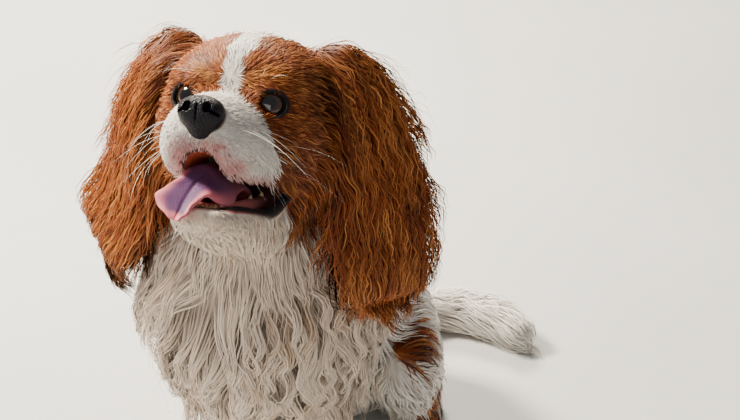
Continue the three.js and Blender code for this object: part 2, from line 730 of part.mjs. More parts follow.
// Every node with its finish. Nodes are listed from the inmost to the outmost:
// each is cut clear of those before it that it would cross.
const limb = (name, shape, side) => ({
  name: `${name}_${side === LEFT ? 'left' : 'right'}`,
  shape: () => shape(side),
  outer: () => shape(side, GAP),
  finish: WHITE,
});
const bothLimbs = (name, shape) => [limb(name, shape, LEFT), limb(name, shape, RIGHT)];
const earLeft = (grow) => ear(EAR_LEFT, 5, grow);
const earRight = (grow) => ear(EAR_RIGHT, 8, grow);
const NODES = [
  { name: 'head', shape: makeHead, outer: () => skull(GAP), finish: CHESTNUT },
  { name: 'eye_left', shape: () => eyeball(LEFT), finish: BROWN_EYE, whole: true },
  { name: 'eye_right', shape: () => eyeball(RIGHT), finish: BROWN_EYE, whole: true },
  { name: 'nose', shape: makeNose, finish: BLACK, whole: true },
  { name: 'lower_jaw', shape: makeJaw, outer: () => jaw(GAP), finish: WHITE, whole: true },
  { name: 'tongue', shape: () => tongue(), finish: PINK, whole: true },
  { name: 'ear_left', shape: () => earLeft(), outer: () => earLeft(GAP), finish: CHESTNUT },
  { name: 'ear_right', shape: () => earRight(), outer: () => earRight(GAP), finish: CHESTNUT },
  { name: 'chest', shape: () => chest(), outer: () => chest(GAP), finish: WHITE },
  { name: 'torso', shape: () => torso(), outer: () => torso(GAP), finish: WHITE },
  { name: 'neck', shape: () => neck(), outer: () => neck(GAP), finish: WHITE },
  ...bothLimbs('thigh', thigh),
  ...bothLimbs('hindfoot', hindfoot),
  ...bothLimbs('forepaw', forepaw),
  ...bothLimbs('foreleg', foreleg),
  { name: 'tail_root', shape: () => tailRoot(), outer: () => tailRoot(GAP), finish: WHITE },
  { name: 'tail_plume', shape: () => tailPlume(), outer: () => tailPlume(GAP), finish: WHITE },
];

function boxesMeet(a, b) {
  const one = a.boundingBox();
  const two = b.boundingBox();
  return [0, 1, 2].every((axis) => one.min[axis] < two.max[axis] && two.min[axis] < one.max[axis]);
}

const dog = new THREE.Group();
dog.name = 'dog';
const taken = []; // the bodies that are done, and each of them a little larger
for (const node of NODES) {
  let body = node.shape();
  if (!node.whole) {
    const near = taken.filter((other) => boxesMeet(other, body));
    body = largest(aboveFloor(without(body, near)));
  }
  taken.push(body);
  if (node.outer) taken.push(node.outer());
  const material = new THREE.MeshStandardMaterial({ ...node.finish, metalness: 0 });
  const mesh = new THREE.Mesh(geometryOf(body), material);
  mesh.name = node.name;
  dog.add(mesh);
}

export default dog;
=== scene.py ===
# A life-size spaniel, white with chestnut patches, that sits with its head raised and its
# mouth open. Tables are in millimetres in the part's frame: +Z up, the dog faces -Y and its left
# side is towards +X. Meshes are made in metres.
import math

import bpy
import numpy as np
from mathutils import Matrix, Vector


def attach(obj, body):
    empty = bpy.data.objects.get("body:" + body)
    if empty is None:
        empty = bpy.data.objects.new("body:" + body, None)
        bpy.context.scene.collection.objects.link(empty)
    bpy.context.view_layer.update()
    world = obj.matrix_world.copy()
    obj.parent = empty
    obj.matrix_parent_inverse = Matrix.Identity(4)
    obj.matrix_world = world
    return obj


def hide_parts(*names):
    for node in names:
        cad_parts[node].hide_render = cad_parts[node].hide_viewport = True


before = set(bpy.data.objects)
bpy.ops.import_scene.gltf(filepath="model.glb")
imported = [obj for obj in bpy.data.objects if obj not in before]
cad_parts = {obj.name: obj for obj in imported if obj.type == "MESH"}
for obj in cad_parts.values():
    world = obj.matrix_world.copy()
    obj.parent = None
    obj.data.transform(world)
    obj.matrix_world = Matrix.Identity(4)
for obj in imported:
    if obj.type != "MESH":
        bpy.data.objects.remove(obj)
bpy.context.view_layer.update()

MM = 0.001
FAR = 1e3  # a distance past every form
SIDES = (1, -1)  # the dog's left and its right
UP = (0, 0, 1)

CAMERA = {"azimuth": 5, "elevation": 32, "distance": 900, "focal_px": 1553, "sensor": 36}
PHOTO = (740, 420)
EYES_PIXEL = (234.4, 102.0)  # where the midpoint between the eyes is in the photo

EYES_AT = np.array([-40.0, -188.0, 368.0])
HEAD_TURN = {"pitch": 35.6, "yaw": 12.2, "roll": -2.7}

# Forms of the head in its own frame, each a centre and three half sizes
SKULL_FORMS = [
    ((0, 40, 8), (43, 46, 36)),  # cranium
    ((0, 18, 17), (34, 24, 21)),  # forehead
    ((0, -27, -13), (14, 22, 12.5)),  # bridge of the muzzle
    ((0, 46, -36), (28, 32, 24)),  # throat
]
PAIRED_SKULL_FORMS = [
    ((20, 5, 13), (15, 12, 9)),  # brow
    ((33, 22, -14), (17, 28, 21)),  # cheek
    ((13, -31, -27.5), (11.5, 15.5, 15.5)),  # whisker pad
    ((19, -9, -31), (10, 23, 15)),  # flew
    ((27, 30, -32), (17, 22, 22)),  # jaw muscle
]
JAW_FORMS = [
    ((0, -27, -70), (9, 10, 5)),  # chin
    ((0, 0, -69), (13, 28, 7)),  # floor of the mouth
    ((0, 24, -65), (23, 30, 18)),  # front of the throat
]
PAIRED_JAW_FORMS = [
    ((10, -15, -69), (7, 18, 6)),  # under the lower lip
    ((18, 8, -63), (9, 22, 10)),  # side of the jaw
]
JAW_ASIDE = 4.5  # how far the open jaw hangs towards the dog's left
HEAD_BOX = ((-80, 80), (-100, 125), (-115, 80))
# Space between the jaws: x, y, z, half width, half height
VAULT = [
    (0, 20, -47, 8, 4),
    (0, 0, -45, 11, 8),
    (0, -20, -45.5, 11.5, 11),
    (0, -44, -48, 10.5, 14),
    (0, -62, -49, 11, 17),
]
GAPE = [
    (0, 16, -47.5, 40, 1.5),
    (0, 6, -52, 43, 7),
    (0, -8, -55.5, 44, 11),
    (0, -24, -57, 38, 10.5),
    (0, -38, -56.5, 38, 10),
    (0, -50, -55, 38, 9),
    (0, -66, -54, 38, 9),
]
# Lines of the lips and the gum on the dog's left, and how thick each is there
LOWER_LIP = [
    (0, -40, -67, 2),
    (9, -37, -66.5, 2.2),
    (17, -30, -64, 2.8),
    (22.5, -18, -64.5, 3.4),
    (26, -5, -62.5, 3.4),
    (29, 8, -55, 3),
    (31, 20, -46, 2),
]
UPPER_LIP = [
    (0, -47, -33.5, 1),
    (6.7, -46, -36.5, 1),
    (11.4, -42, -42, 1),
    (17.3, -36, -46, 1),
    (24, -22, -47.5, 1),
    (31, -5, -45, 1),
    (34, 20, -46, 1),
]
GUM = [(0, -33, -65, 3.5), (9, -30, -64, 3.5), (15, -16, -60.5, 4), (17.5, 0, -57, 4), (19, 14, -51, 3.5)]
# Line of the painted highlight along the brows: x, y, z and its thickness
BROW_HIGHLIGHT = [(9, -9, 12, 2), (19, -7, 15, 3), (29, 0, 13, 3), (36, 8, 6, 2)]
# The left eye: turn is how far aside its opening faces and gaze how far aside and up it looks,
# in degrees, and cornea how far its front stands out
EYE = {"at": (23.5, -1.5, -0.5), "radius": 11, "opening": (7.4, 6.5), "lid": 1.9, "rim": 0.75,
       "turn": 20, "gaze": (12, 4), "cornea": 0.55}
EYE_CORNER = ((15.5, -13, -4), (4.8, 7, 4.2))
NOSE = ((0, -50, -14.5), (13.5, 9, 10))
# The tongue's right edge, the channel along its middle and its left edge, and its thickness
TONGUE = [
    ((-16, 12, -52), (0, 12, -53), (16, 12, -53), 7),
    ((-16, -4, -47), (1, -4, -45), (16, -4, -50), 7),
    ((-15, -18, -45), (1, -16, -42), (16, -18, -55), 6.5),
    ((-14, -28, -45.5), (1, -25, -42.5), (17.7, -28, -62), 6),
    ((-12, -36, -47), (0, -30, -46.5), (14.5, -37, -62.5), 5.5),
    ((-13, -42.5, -51), (-2, -36, -51), (10.3, -44.5, -59.2), 5),
    ((-17, -48, -56), (-2.7, -42, -57.3), (6.4, -49, -60.3), 4.6),
    ((-20, -53.5, -61), (-3, -48, -63.5), (3.8, -54, -65.3), 4.2),
    ((-15.5, -57, -67), (-3.5, -53, -69), (2, -57.5, -70), 3.6),
    ((-9, -59, -72), (-4, -57, -72.8), (-0.6, -59.5, -74), 2.8),
]
TEETH = [(1.2, -37.5, -64.5, 0.1), (3.4, -37, -64.5, 0.1), (5.6, -36, -64.3, 0.14),
         (8.5, -33, -63, 0.35), (15.5, -9, -58, 0.55), (18, 3, -53.5, 0.35)]  # x, y, z, size
LIP_GROOVE = {"y": -49.5, "radius": 1.6, "z": -31, "half": 7}  # from the nose down to the lip
# The nose leather's forms, and the block of points that it is made in
NOSE_FORMS = [
    ((0, -50, -13), (10.4, 8.2, 7.6)),
    ((6.8, -51.5, -13.2), (5.8, 6.6, 5.6)),
    ((-6.8, -51.5, -13.2), (5.8, 6.6, 5.6)),
    ((0, -49.5, -9), (8.6, 7.5, 4.5)),
    ((0, -50.5, -18.5), (8.4, 6.4, 5.4)),
    ((0, -48.5, -23), (5.6, 5.4, 5)),
]
NOSE_BLOCK = ((-19, 19), (-63, -37), (-33, 0))
NOSE_STEP, NOSE_BLEND = 0.45, 1.6
NOSTRIL = ((5.9, -59.5, -11.2), (2.3, 6.5, 3.1))
NOSTRIL_SLIT = ((9.3, -57, -13.6), (3.6, 6.0, 1.0))

# Spines of the flesh: x, y, z, half width, half depth, depth of the coat over it
CHEST_X = -32
TORSO = [
    (0, 7, 27, 46, 42, 7),
    (0, 4, 62, 56, 50, 8),
    (-6, -24, 114, 56, 56, 10),
    (-15, -62, 160, 59, 62, 12),
    (-24, -96, 196, 58, 64, 12),
]
CHEST = [
    (-37, -134, 150, 50, 46, 14),
    (-37, -137, 176, 63, 60, 17),
    (-37, -139, 208, 68, 66, 19),
    (-37, -141, 238, 65, 62, 19),
    (-35, -146, 262, 44, 50, 13),
]
NECK = [
    (-33, -138, 226, 42, 46, 6),
    (-34, -146, 258, 46, 50, 14),
    (-35, -146, 290, 44, 46, 15),
    (-36, -140, 318, 40, 42, 11),
    (-36, -128, 342, 34, 34, 8),
]
FORELEG_X = 36
FORELEG = [
    (2, -118, 186, 18, 30, 8),
    (1, -126, 152, 16, 23, 8),
    (1, -135, 112, 13, 15, 7),
    (0, -143, 72, 11.5, 12.5, 6),
    (0, -150, 42, 12.5, 13.5, 4),
    (0, -154, 24, 13, 14, 3),
]
FOREPAW = [
    (0, -148, 13, 14, 13.5, 2),
    (0, -166, 12, 17, 12.5, 2),
    (0, -188, 9, 17, 9.5, 2),
]
HIND_X = 30
THIGH = [
    (0, 14, 66, 30, 46, 8),
    (14, -20, 82, 27, 47, 9),
    (22, -54, 92, 22, 37, 9),
    (26, -80, 96, 15, 22, 7),
]
SHANK = [
    (26, -78, 92, 15, 19, 7),
    (28, -50, 62, 15, 20, 8),
    (30, -20, 36, 13, 17, 7),
    (31, 2, 22, 11, 14, 5),
]
HINDFOOT = [
    (31, 6, 12, 12, 13, 3),
    (32, -24, 11, 13, 12, 3),
    (34, -58, 11, 16, 11.5, 3),
    (34, -87, 9, 17, 9.5, 2),
]
TOES = (-12, -4.3, 4.3, 12)
TOE = (5.4, 11, 7.5)
TOE_REACH = 25
TOE_ARC = 0.45  # how far a toe stands back for each mm that it is off the paw's middle
CLAW_HEIGHT = 6.4
TAIL = [
    (2, 44, 44, 12, 12, 5),
    (16, 70, 30, 10, 10, 9),
    (36, 92, 21, 9, 8, 12),
    (61, 106, 17, 8, 7, 15),
    (92, 108, 16, 7, 6, 17),
    (120, 98, 16, 5, 4, 16),
    (140, 82, 15, 3, 3, 11),
]
EAR_LEFT = [
    (3, -146, 373, 12, 6, 8),
    (20, -152, 363, 22, 8, 11),
    (36, -165, 325, 28, 7, 10),
    (43, -177, 292, 32, 5, 10),
    (46, -185, 264, 30, 4, 11),
    (46, -189, 246, 22, 3, 10),
]
EAR_RIGHT = [
    (-70, -132, 372, 12, 6, 8),
    (-87, -136, 363, 22, 8, 11),
    (-104, -145, 326, 28, 7, 10),
    (-110, -152, 296, 32, 5, 10),
    (-121, -154, 270, 30, 4, 11),
    (-131, -154, 253, 22, 3, 10),
]
EAR_OUTWARD = {"ear_left": (0.6, -0.8, 0), "ear_right": (-0.83, -0.55, 0)}


# Frames and splines
def head_axes():
    pitch, yaw, roll = (math.radians(HEAD_TURN[key]) for key in ("pitch", "yaw", "roll"))
    turn = Matrix.Rotation(-yaw, 3, "Z") @ Matrix.Rotation(-pitch, 3, "X") @ Matrix.Rotation(roll, 3, "Y")
    return np.array(turn)


HEAD_AXES = head_axes()


def to_head(points):
    return (points - EYES_AT) @ HEAD_AXES


def from_head(points):
    return np.asarray(points, float) @ HEAD_AXES.T + EYES_AT


def unit(vectors):
    """The vectors at length 1."""
    return vectors / np.maximum(np.linalg.norm(vectors, axis=-1, keepdims=True), 1e-9)


def smooth_path(stations, steps):
    """Points along a smooth curve through the stations, with every column carried along."""
    rows = np.asarray(stations, float)
    rows = np.vstack([2 * rows[0] - rows[1], rows, 2 * rows[-1] - rows[-2]])
    out = []
    for a, b, c, d in zip(rows, rows[1:], rows[2:], rows[3:]):
        for t in np.arange(steps) / steps:
            cubic = 2 * b + (c - a) * t + (2 * a - 5 * b + 4 * c - d) * t**2 + (3 * b - a - 3 * c + d) * t**3
            out.append(cubic / 2)
    return np.array(out + [rows[-2]])


def shifted(stations, middle, apart, side):
    """Stations of one leg, moved to its side of the body."""
    return [(middle + side * (apart + x), *rest) for x, *rest in stations]


def both_sides(single, paired):
    """Forms on the middle, and forms of the left side with their mirror images."""
    mirrored = [((-at[0], *at[1:]), half) for at, half in paired]
    return single + paired + mirrored


SPINE_STEPS = 3  # pieces of a smooth spine for each of its stations


# The flesh as distances, in millimetres and below zero inside
def form_distance(points, form):
    at, half = np.array(form, np.float32)
    return (np.linalg.norm((points - at) / half, axis=-1) - 1) * min(half)


def span_distance(points, a, b, front, end_round=0.7):
    """Distance to a stretch of tube with an oval section, and how far along it each point is."""
    a, b = a.astype(np.float32), b.astype(np.float32)
    axis = b[:3] - a[:3]
    length = np.linalg.norm(axis)
    ahead = axis / length
    front = np.asarray(front, np.float32)
    depth = unit(front - ahead * np.dot(front, ahead))
    width = np.cross(depth, ahead)
    along = np.clip((points - a[:3]) @ ahead / length, 0, 1)
    off = points - a[:3] - along[:, None] * axis
    half_w = a[3] + (b[3] - a[3]) * along
    half_d = a[4] + (b[4] - a[4]) * along
    least = np.minimum(half_w, half_d)
    u, v, w = off @ width, off @ depth, off @ ahead
    w = w / (least * end_round)
    near = np.sqrt((u / half_w) ** 2 + (v / half_d) ** 2 + w**2)
    steep = np.sqrt((u / half_w**2) ** 2 + (v / half_d**2) ** 2 + (w / least) ** 2)
    return np.where(near > 1e-3, near * (near - 1) / np.maximum(steep, 1e-6), -least), along


class Chain:
    """A tube of flesh along a spine. comb is +1 where its hair lies along the spine and -1
    against it, drift is which way it also leans."""

    def __init__(self, name, stations, front=(0, -1, 0), comb=1, drift=(0, 0, 0)):
        self.name = name
        self.front = front
        self.comb = comb
        self.drift = np.array(drift)
        self.path = smooth_path(stations, SPINE_STEPS)

    def spans(self):
        return list(zip(self.path, self.path[1:]))


CHAINS = [
    Chain("torso", TORSO, comb=-1),
    Chain("chest", CHEST, comb=-1),
    Chain("neck", NECK, comb=-1),
    Chain("tail", TAIL, front=UP),
]
for side, word in ((1, "left"), (-1, "right")):
    CHAINS += [
        Chain("foreleg_" + word, shifted(FORELEG, CHEST_X, FORELEG_X, side)),
        Chain("forepaw_" + word, shifted(FOREPAW, CHEST_X, FORELEG_X, side), front=UP),
        Chain("thigh_" + word, shifted(THIGH, 0, HIND_X, side), front=UP, comb=-1,
              drift=(0.7 * side, 0, -0.7)),
        Chain("shank_" + word, shifted(SHANK, 0, HIND_X, side), front=UP, drift=(0.3 * side, 0, -0.4)),
        Chain("hindfoot_" + word, shifted(HINDFOOT, 0, HIND_X, side), front=UP, drift=(0, 0, -0.6)),
    ]
EARS = [
    Chain("ear_left", EAR_LEFT, front=EAR_OUTWARD["ear_left"]),
    Chain("ear_right", EAR_RIGHT, front=EAR_OUTWARD["ear_right"]),
]
MOUTH_SPACES = [Chain("vault", VAULT, front=UP), Chain("gape", GAPE, front=UP)]
HEAD_FORMS = both_sides(SKULL_FORMS, PAIRED_SKULL_FORMS)
for jaw_at, jaw_half in both_sides(JAW_FORMS, PAIRED_JAW_FORMS):
    HEAD_FORMS.append(((jaw_at[0] + JAW_ASIDE, *jaw_at[1:]), jaw_half))
BODY_BLEND, HEAD_BLEND, EAR_BLEND = 6, 5, 2.5
REACH = 20  # how far from a form it still counts
DEEPEST = 60


def toe_places(forward):
    """Where each toe of the four paws is from above, forward of the last ring of its paw."""
    places = []
    for stations, middle, apart in ((FOREPAW, CHEST_X, FORELEG_X), (HINDFOOT, 0, HIND_X)):
        x, y = stations[-1][:2]
        for side in SIDES:
            for across in TOES:
                places.append((middle + side * (apart + x) + across, y - forward + abs(across) * TOE_ARC))
    return places


class Grid:
    """A block of sample points with its own spacing along each axis."""

    def __init__(self, axes):
        self.axes = [np.asarray(axis, np.float32) for axis in axes]
        self.shape = tuple(len(axis) for axis in self.axes)

    def window(self, low, high):
        spans = []
        for axis, a, b in zip(self.axes, low, high):
            first, last = np.searchsorted(axis, a), np.searchsorted(axis, b)
            spans.append(slice(max(first - 1, 0), min(last + 1, len(axis))))
        return tuple(spans)

    def points(self, window):
        mesh = np.meshgrid(*[axis[part] for axis, part in zip(self.axes, window)], indexing="ij")
        return np.stack([part.ravel() for part in mesh], 1).astype(np.float32)


def chain_in(grid, chain, reach=REACH):
    """Distance to a chain over the whole grid, far away where it doesn't count,
    and the way its hair lies there."""
    best = np.full(grid.shape, FAR, np.float32)
    lie = np.zeros((*grid.shape, 3), np.float32)
    for a, b in chain.spans():
        pad = max(*a[3:5], *b[3:5]) + reach
        window = grid.window(np.minimum(a[:3], b[:3]) - pad, np.maximum(a[:3], b[:3]) + pad)
        points = grid.points(window)
        if not len(points):
            continue
        distance, _ = span_distance(points, a, b, chain.front)
        part = best[window]
        distance = distance.reshape(part.shape)
        closer = distance < part
        part[closer] = distance[closer]
        lie[window][closer] = unit(unit(b[:3] - a[:3]) * chain.comb + chain.drift)
    return best, lie


def mouth_distance(head_points):
    """Distance to the space between the jaws."""
    best = np.full(len(head_points), FAR)
    for space in MOUTH_SPACES:
        for a, b in space.spans():
            best = np.minimum(best, span_distance(head_points, a, b, UP, 0.3)[0])
    return best


def roll_distance(points, line, aside=JAW_ASIDE):
    """The distance to a roll of flesh along a line, on either side of the jaw."""
    points = np.column_stack([np.abs(points[:, 0] - aside), points[:, 1:]])
    best = np.full(len(points), FAR)
    path = smooth_path(line, SPINE_STEPS)
    for a, b in zip(path, path[1:]):
        way = (b - a)[:3]
        t = np.clip((points - a[:3]) @ way / (way @ way), 0, 1)
        thick = a[3] + t * (b[3] - a[3])
        best = np.minimum(best, np.linalg.norm(points - a[:3] - t[:, None] * way, axis=1) - thick)
    return best


def joined(first, second, blend):
    """The smaller of two distances, rounded where they meet."""
    return -blend * np.logaddexp(-first / blend, -second / blend)


def eye_middle(side):
    return np.array([EYE["at"][0] * side, *EYE["at"][1:]])


def turned(x, y, angle):
    return x * math.cos(angle) - y * math.sin(angle), x * math.sin(angle) + y * math.cos(angle)


def eye_parts(head_points, side):
    """Distance from an eye's middle, and how far outside the opening between the lids."""
    local = head_points - eye_middle(side)
    x, y = turned(local[:, 0], local[:, 1], -math.radians(EYE["turn"]) * side)
    half_w, half_h = EYE["opening"]
    almond = np.sqrt((x / half_w) ** 2 + (local[:, 2] / half_h) ** 2)
    return np.linalg.norm(local, axis=1), (almond - 1) * half_h + np.where(y > 0, REACH, 0)


def head_cuts(head_points, distance):
    """The head's flesh with its mouth, eye openings and the groove under the nose."""
    balls = np.full(len(head_points), FAR)
    for side in SIDES:
        balls = np.minimum(balls, eye_parts(head_points, side)[0] - EYE["radius"] - EYE["lid"])
    distance = joined(distance, balls, 2.5)
    distance = -joined(-distance, mouth_distance(head_points), 1.2)
    distance = joined(distance, roll_distance(head_points, GUM), 1)
    distance = joined(distance, roll_distance(head_points, LOWER_LIP), 1.2)
    for side in SIDES:
        ball, opening = eye_parts(head_points, side)
        hollow = np.minimum(ball - EYE["radius"] - 0.2, np.maximum(opening - 0.2, ball - 26))
        distance = -joined(-distance, hollow, 0.5)
    groove = np.hypot(head_points[:, 0], (head_points[:, 1] - LIP_GROOVE["y"])) - LIP_GROOVE["radius"]
    groove = np.maximum(groove, np.abs(head_points[:, 2] - LIP_GROOVE["z"]) - LIP_GROOVE["half"])
    nose = form_distance(head_points, NOSE) - 0.3
    return np.maximum(np.maximum(distance, -groove), -nose)


def flesh(grid):
    """The distance to the dog's flesh over a grid, and the lie of the hair."""
    total = np.zeros(grid.shape, np.float32)
    lie = np.zeros((*grid.shape, 3), np.float32)

    def blend_in(window, distance, way):
        distance = distance.reshape(total[window].shape)
        weight = np.exp(-np.clip(distance, -DEEPEST, REACH) / BODY_BLEND)
        weight = np.where(distance < REACH, weight, 0)
        total[window] += weight
        lie[window] += weight[..., None] * way

    for chain in CHAINS:
        distance, way = chain_in(grid, chain)
        blend_in((slice(None),) * 3, distance, way)
    for place in toe_places(2):
        centre = (*place, TOE[2] - 0.5)
        window = grid.window(np.array(centre) - TOE_REACH, np.array(centre) + TOE_REACH)
        points = grid.points(window)
        if len(points):
            blend_in(window, form_distance(points, (centre, TOE)) + 2, np.array([0, -1, 0]))
    corner = from_head([(x, y, z) for x in HEAD_BOX[0] for y in HEAD_BOX[1] for z in HEAD_BOX[2]])
    window = grid.window(corner.min(0), corner.max(0))
    head_points = to_head(grid.points(window))
    for form in HEAD_FORMS:
        near = np.all(np.abs(head_points - form[0]) < np.array(form[1]) + REACH, axis=1)
        distance = np.full(len(head_points), FAR)
        distance[near] = form_distance(head_points[near], form) * BODY_BLEND / HEAD_BLEND
        blend_in(window, distance, HEAD_AXES @ head_lie(form))
    distance = -BODY_BLEND * np.log(np.maximum(total, 1e-9))
    whole = distance[window]
    distance[window] = head_cuts(head_points, whole.ravel()).reshape(whole.shape)
    for ear in EARS:
        flap, way = chain_in(grid, ear)
        closer = flap < distance
        lie[closer] = way[closer]
        most, least = np.minimum(flap, distance), np.maximum(flap, distance)
        distance = most - EAR_BLEND * np.log1p(np.exp((most - least) / EAR_BLEND))
    floor = grid.axes[2][None, None, :]
    return np.maximum(distance, 0.6 - floor), unit(lie)


def head_lie(form):
    """The way the hair lies over one form of the head: back, and down on its low parts."""
    x, y, z = form[0]
    if z < -60:
        return unit(np.array([x * 0.01, 0.55, -0.8]))
    if y < -20:
        return unit(np.array([x * 0.02, 1.0, -0.35 if z < -20 else 0.1]))
    if z < -20:
        return unit(np.array([x * 0.01, 0.7, -0.7]))
    return unit(np.array([x * 0.02, 1.0, -0.15]))


def surface_net(values, axes):
    """The zero level of a grid of distances as a mesh of quads, with one vertex in each cell
    that the level crosses."""
    shape = np.array(values.shape)
    inside = values < 0
    cell_shape = shape - 1
    cells, places, quads = [], [], []
    for axis in range(3):
        low = [slice(None)] * 3
        high = [slice(None)] * 3
        low[axis], high[axis] = slice(0, -1), slice(1, None)
        low, high = tuple(low), tuple(high)
        crossed = inside[low] != inside[high]
        other = [a for a in range(3) if a != axis]
        for a in other:
            edge = [slice(None)] * 3
            edge[a] = 0
            crossed[tuple(edge)] = False
            edge[a] = -1
            crossed[tuple(edge)] = False
        index = np.argwhere(crossed)
        first, second = values[low][crossed], values[high][crossed]
        place = index.astype(float)
        place[:, axis] += first / (first - second)
        ring = []
        for step_a, step_b in ((0, 0), (-1, 0), (-1, -1), (0, -1)):
            cell = index.copy()
            cell[:, other[0]] += step_a
            cell[:, other[1]] += step_b
            number = np.ravel_multi_index(tuple(cell.T), tuple(cell_shape))
            ring.append(number)
            cells.append(number)
            places.append(place)
        ring = np.stack(ring, 1)
        flipped = (first < 0) == (axis == 1)
        ring[flipped] = ring[flipped][:, ::-1]
        quads.append(ring)
    cells, places = np.concatenate(cells), np.concatenate(places)
    used, number = np.unique(cells, return_inverse=True)
    count = np.bincount(number)
    middle = [np.bincount(number, places[:, a]) / count for a in range(3)]
    vertices = np.stack([np.interp(m, np.arange(n), ax) for m, n, ax in zip(middle, shape, axes)], 1)
    faces = np.searchsorted(used, np.concatenate(quads))
    return vertices, faces


def relaxed(vertices, faces, rounds=2, pull=0.5):
    """The mesh with its steps smoothed: each vertex is drawn to the middle of its neighbours."""
    pairs = np.concatenate([faces[:, [0, 1]], faces[:, [1, 2]], faces[:, [2, 3]], faces[:, [3, 0]]])
    pairs = np.unique(np.sort(pairs, axis=1), axis=0)
    ends, others = pairs.T
    degree = np.bincount(pairs.ravel(), minlength=len(vertices))[:, None]
    for _ in range(rounds):
        total = np.zeros_like(vertices)
        for a in range(3):
            total[:, a] = np.bincount(ends, vertices[others, a], len(vertices))
            total[:, a] += np.bincount(others, vertices[ends, a], len(vertices))
        vertices = vertices + pull * (total / degree - vertices)
    return vertices


def graded(low, high, fine_from, fine_to, fine, coarse):
    """Places along an axis, close together from fine_from to fine_to."""
    places = [low]
    while places[-1] < high:
        off = max(fine_from - places[-1], places[-1] - fine_to, 0)
        places.append(places[-1] + min(coarse, fine + 0.12 * off))
    return np.array(places)


# Colours, as linear red, green and blue
WHITE_HAIR = (0.92, 0.88, 0.82)
CREAM_HAIR = (0.66, 0.46, 0.31)
CHESTNUT_HAIR = (0.20, 0.039, 0.006)
DARK_CHESTNUT = (0.060, 0.010, 0.002)
# PALE_CHESTNUT is also painted as highlight on the brows and on top strands
PALE_CHESTNUT = (0.70, 0.28, 0.07)
BLUSH_HAIR = (0.64, 0.31, 0.30)
PINK_SKIN = (0.62, 0.33, 0.27)
BLACK_SKIN = (0.012, 0.010, 0.011)
RED_PALATE = (0.42, 0.085, 0.04)
GUM_PINK = (0.42, 0.13, 0.13)
# The tongue's painted shade: violet in its channel, and darker towards its root
TONGUE_CHANNEL_SHADE = (0.125, 0.055, 0.140)
PINK_TONGUE = (0.72, 0.20, 0.24)
TONGUE_ROOT_SHADE = (0.22, 0.08, 0.12)


def mesh_piece(name, vertices, faces, material, colours=None, normals=None, slot=None, replaces=()):
    """A piece of the visible dog from arrays in millimetres, riding on its one body."""
    mesh = bpy.data.meshes.new(name)
    faces = np.asarray(faces, np.int32)
    sides = faces.shape[1]
    mesh.vertices.add(len(vertices))
    mesh.vertices.foreach_set("co", (np.asarray(vertices, np.float32) * MM).ravel())
    mesh.loops.add(faces.size)
    mesh.loops.foreach_set("vertex_index", faces.ravel())
    mesh.polygons.add(len(faces))
    mesh.polygons.foreach_set("loop_start", np.arange(0, faces.size, sides, dtype=np.int32))
    mesh.polygons.foreach_set("use_smooth", np.full(len(faces), True))
    mesh.update(calc_edges=True)
    if normals is not None:
        mesh.normals_split_custom_set_from_vertices(normals.tolist())
    if colours is not None:
        layer = mesh.color_attributes.new("Tint", "FLOAT_COLOR", "POINT")
        rgba = np.ones((len(vertices), 4), np.float32)
        rgba[:, :3] = colours
        layer.data.foreach_set("color", rgba.ravel())
    mesh.materials.append(material)
    piece = bpy.data.objects.new(name, mesh)
    bpy.context.scene.collection.objects.link(piece)
    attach(piece, "root")
    if replaces:
        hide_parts(*replaces)
    return piece


class Nodes:
    """Short ways to build a material's nodes."""

    def __init__(self, name):
        self.material = bpy.data.materials.new(name)
        self.material.use_nodes = True
        self.tree = self.material.node_tree
        self.shader = self.tree.nodes["Principled BSDF"]
        self.patterns = {}

    def feed(self, socket, value):
        if isinstance(value, bpy.types.NodeSocket):
            self.tree.links.new(value, socket)
        else:
            socket.default_value = value

    def add(self, kind, inputs, **settings):
        node = self.tree.nodes.new(kind)
        for key, value in settings.items():
            setattr(node, key, value)
        for key, value in inputs.items():
            self.feed(node.inputs[key], value)
        return node

    def pattern(self, kind, scale, detail=None):
        """Cells, or noise where there is a detail, with scale features to the metre."""
        if (kind, scale) not in self.patterns:
            where = self.add("ShaderNodeTexCoord", {}).outputs["Object"]
            if kind == "cells":
                node = self.add("ShaderNodeTexVoronoi", {"Vector": where, "Scale": scale})
                self.patterns[kind, scale] = node.outputs["Distance"]
            else:
                node = self.add("ShaderNodeTexNoise", {"Vector": where, "Scale": scale, "Detail": detail})
                self.patterns[kind, scale] = node.outputs["Fac"]
        return self.patterns[kind, scale]

    def over_tint(self, pattern, colour):
        """The vertices' own colours with a pattern of another one over them."""
        tint = self.add("ShaderNodeVertexColor", {}, layer_name="Tint").outputs["Color"]
        sockets = {0: pattern, 6: tint, 7: (*colour, 1)}
        return self.add("ShaderNodeMix", sockets, data_type="RGBA", blend_type="SOFT_LIGHT").outputs[2]

    def ramp(self, pattern, stops):
        node = self.add("ShaderNodeValToRGB", {"Fac": pattern})
        for element, (place, colour) in zip(node.color_ramp.elements, stops):
            element.position = place
            element.color = (*colour, 1)
        return node.outputs["Color"]


def surface_finish(name, pattern, over=None, stops=None, bump=None, **values):
    """A material that varies with a pattern, laid over the vertices' colours or between two
    stops. bump is a pattern with its depth in metres and its strength."""
    nodes = Nodes(name)
    varied = nodes.pattern(*pattern)
    values["Base_Color"] = nodes.over_tint(varied, over) if over else nodes.ramp(varied, stops)
    if bump:
        height, depth, strength = bump
        inputs = {"Height": nodes.pattern(*height), "Distance": depth, "Strength": strength}
        values["Normal"] = nodes.add("ShaderNodeBump", inputs).outputs["Normal"]
    for key, value in values.items():
        nodes.feed(nodes.shader.inputs[key.replace("_", " ")], value)
    return nodes.material


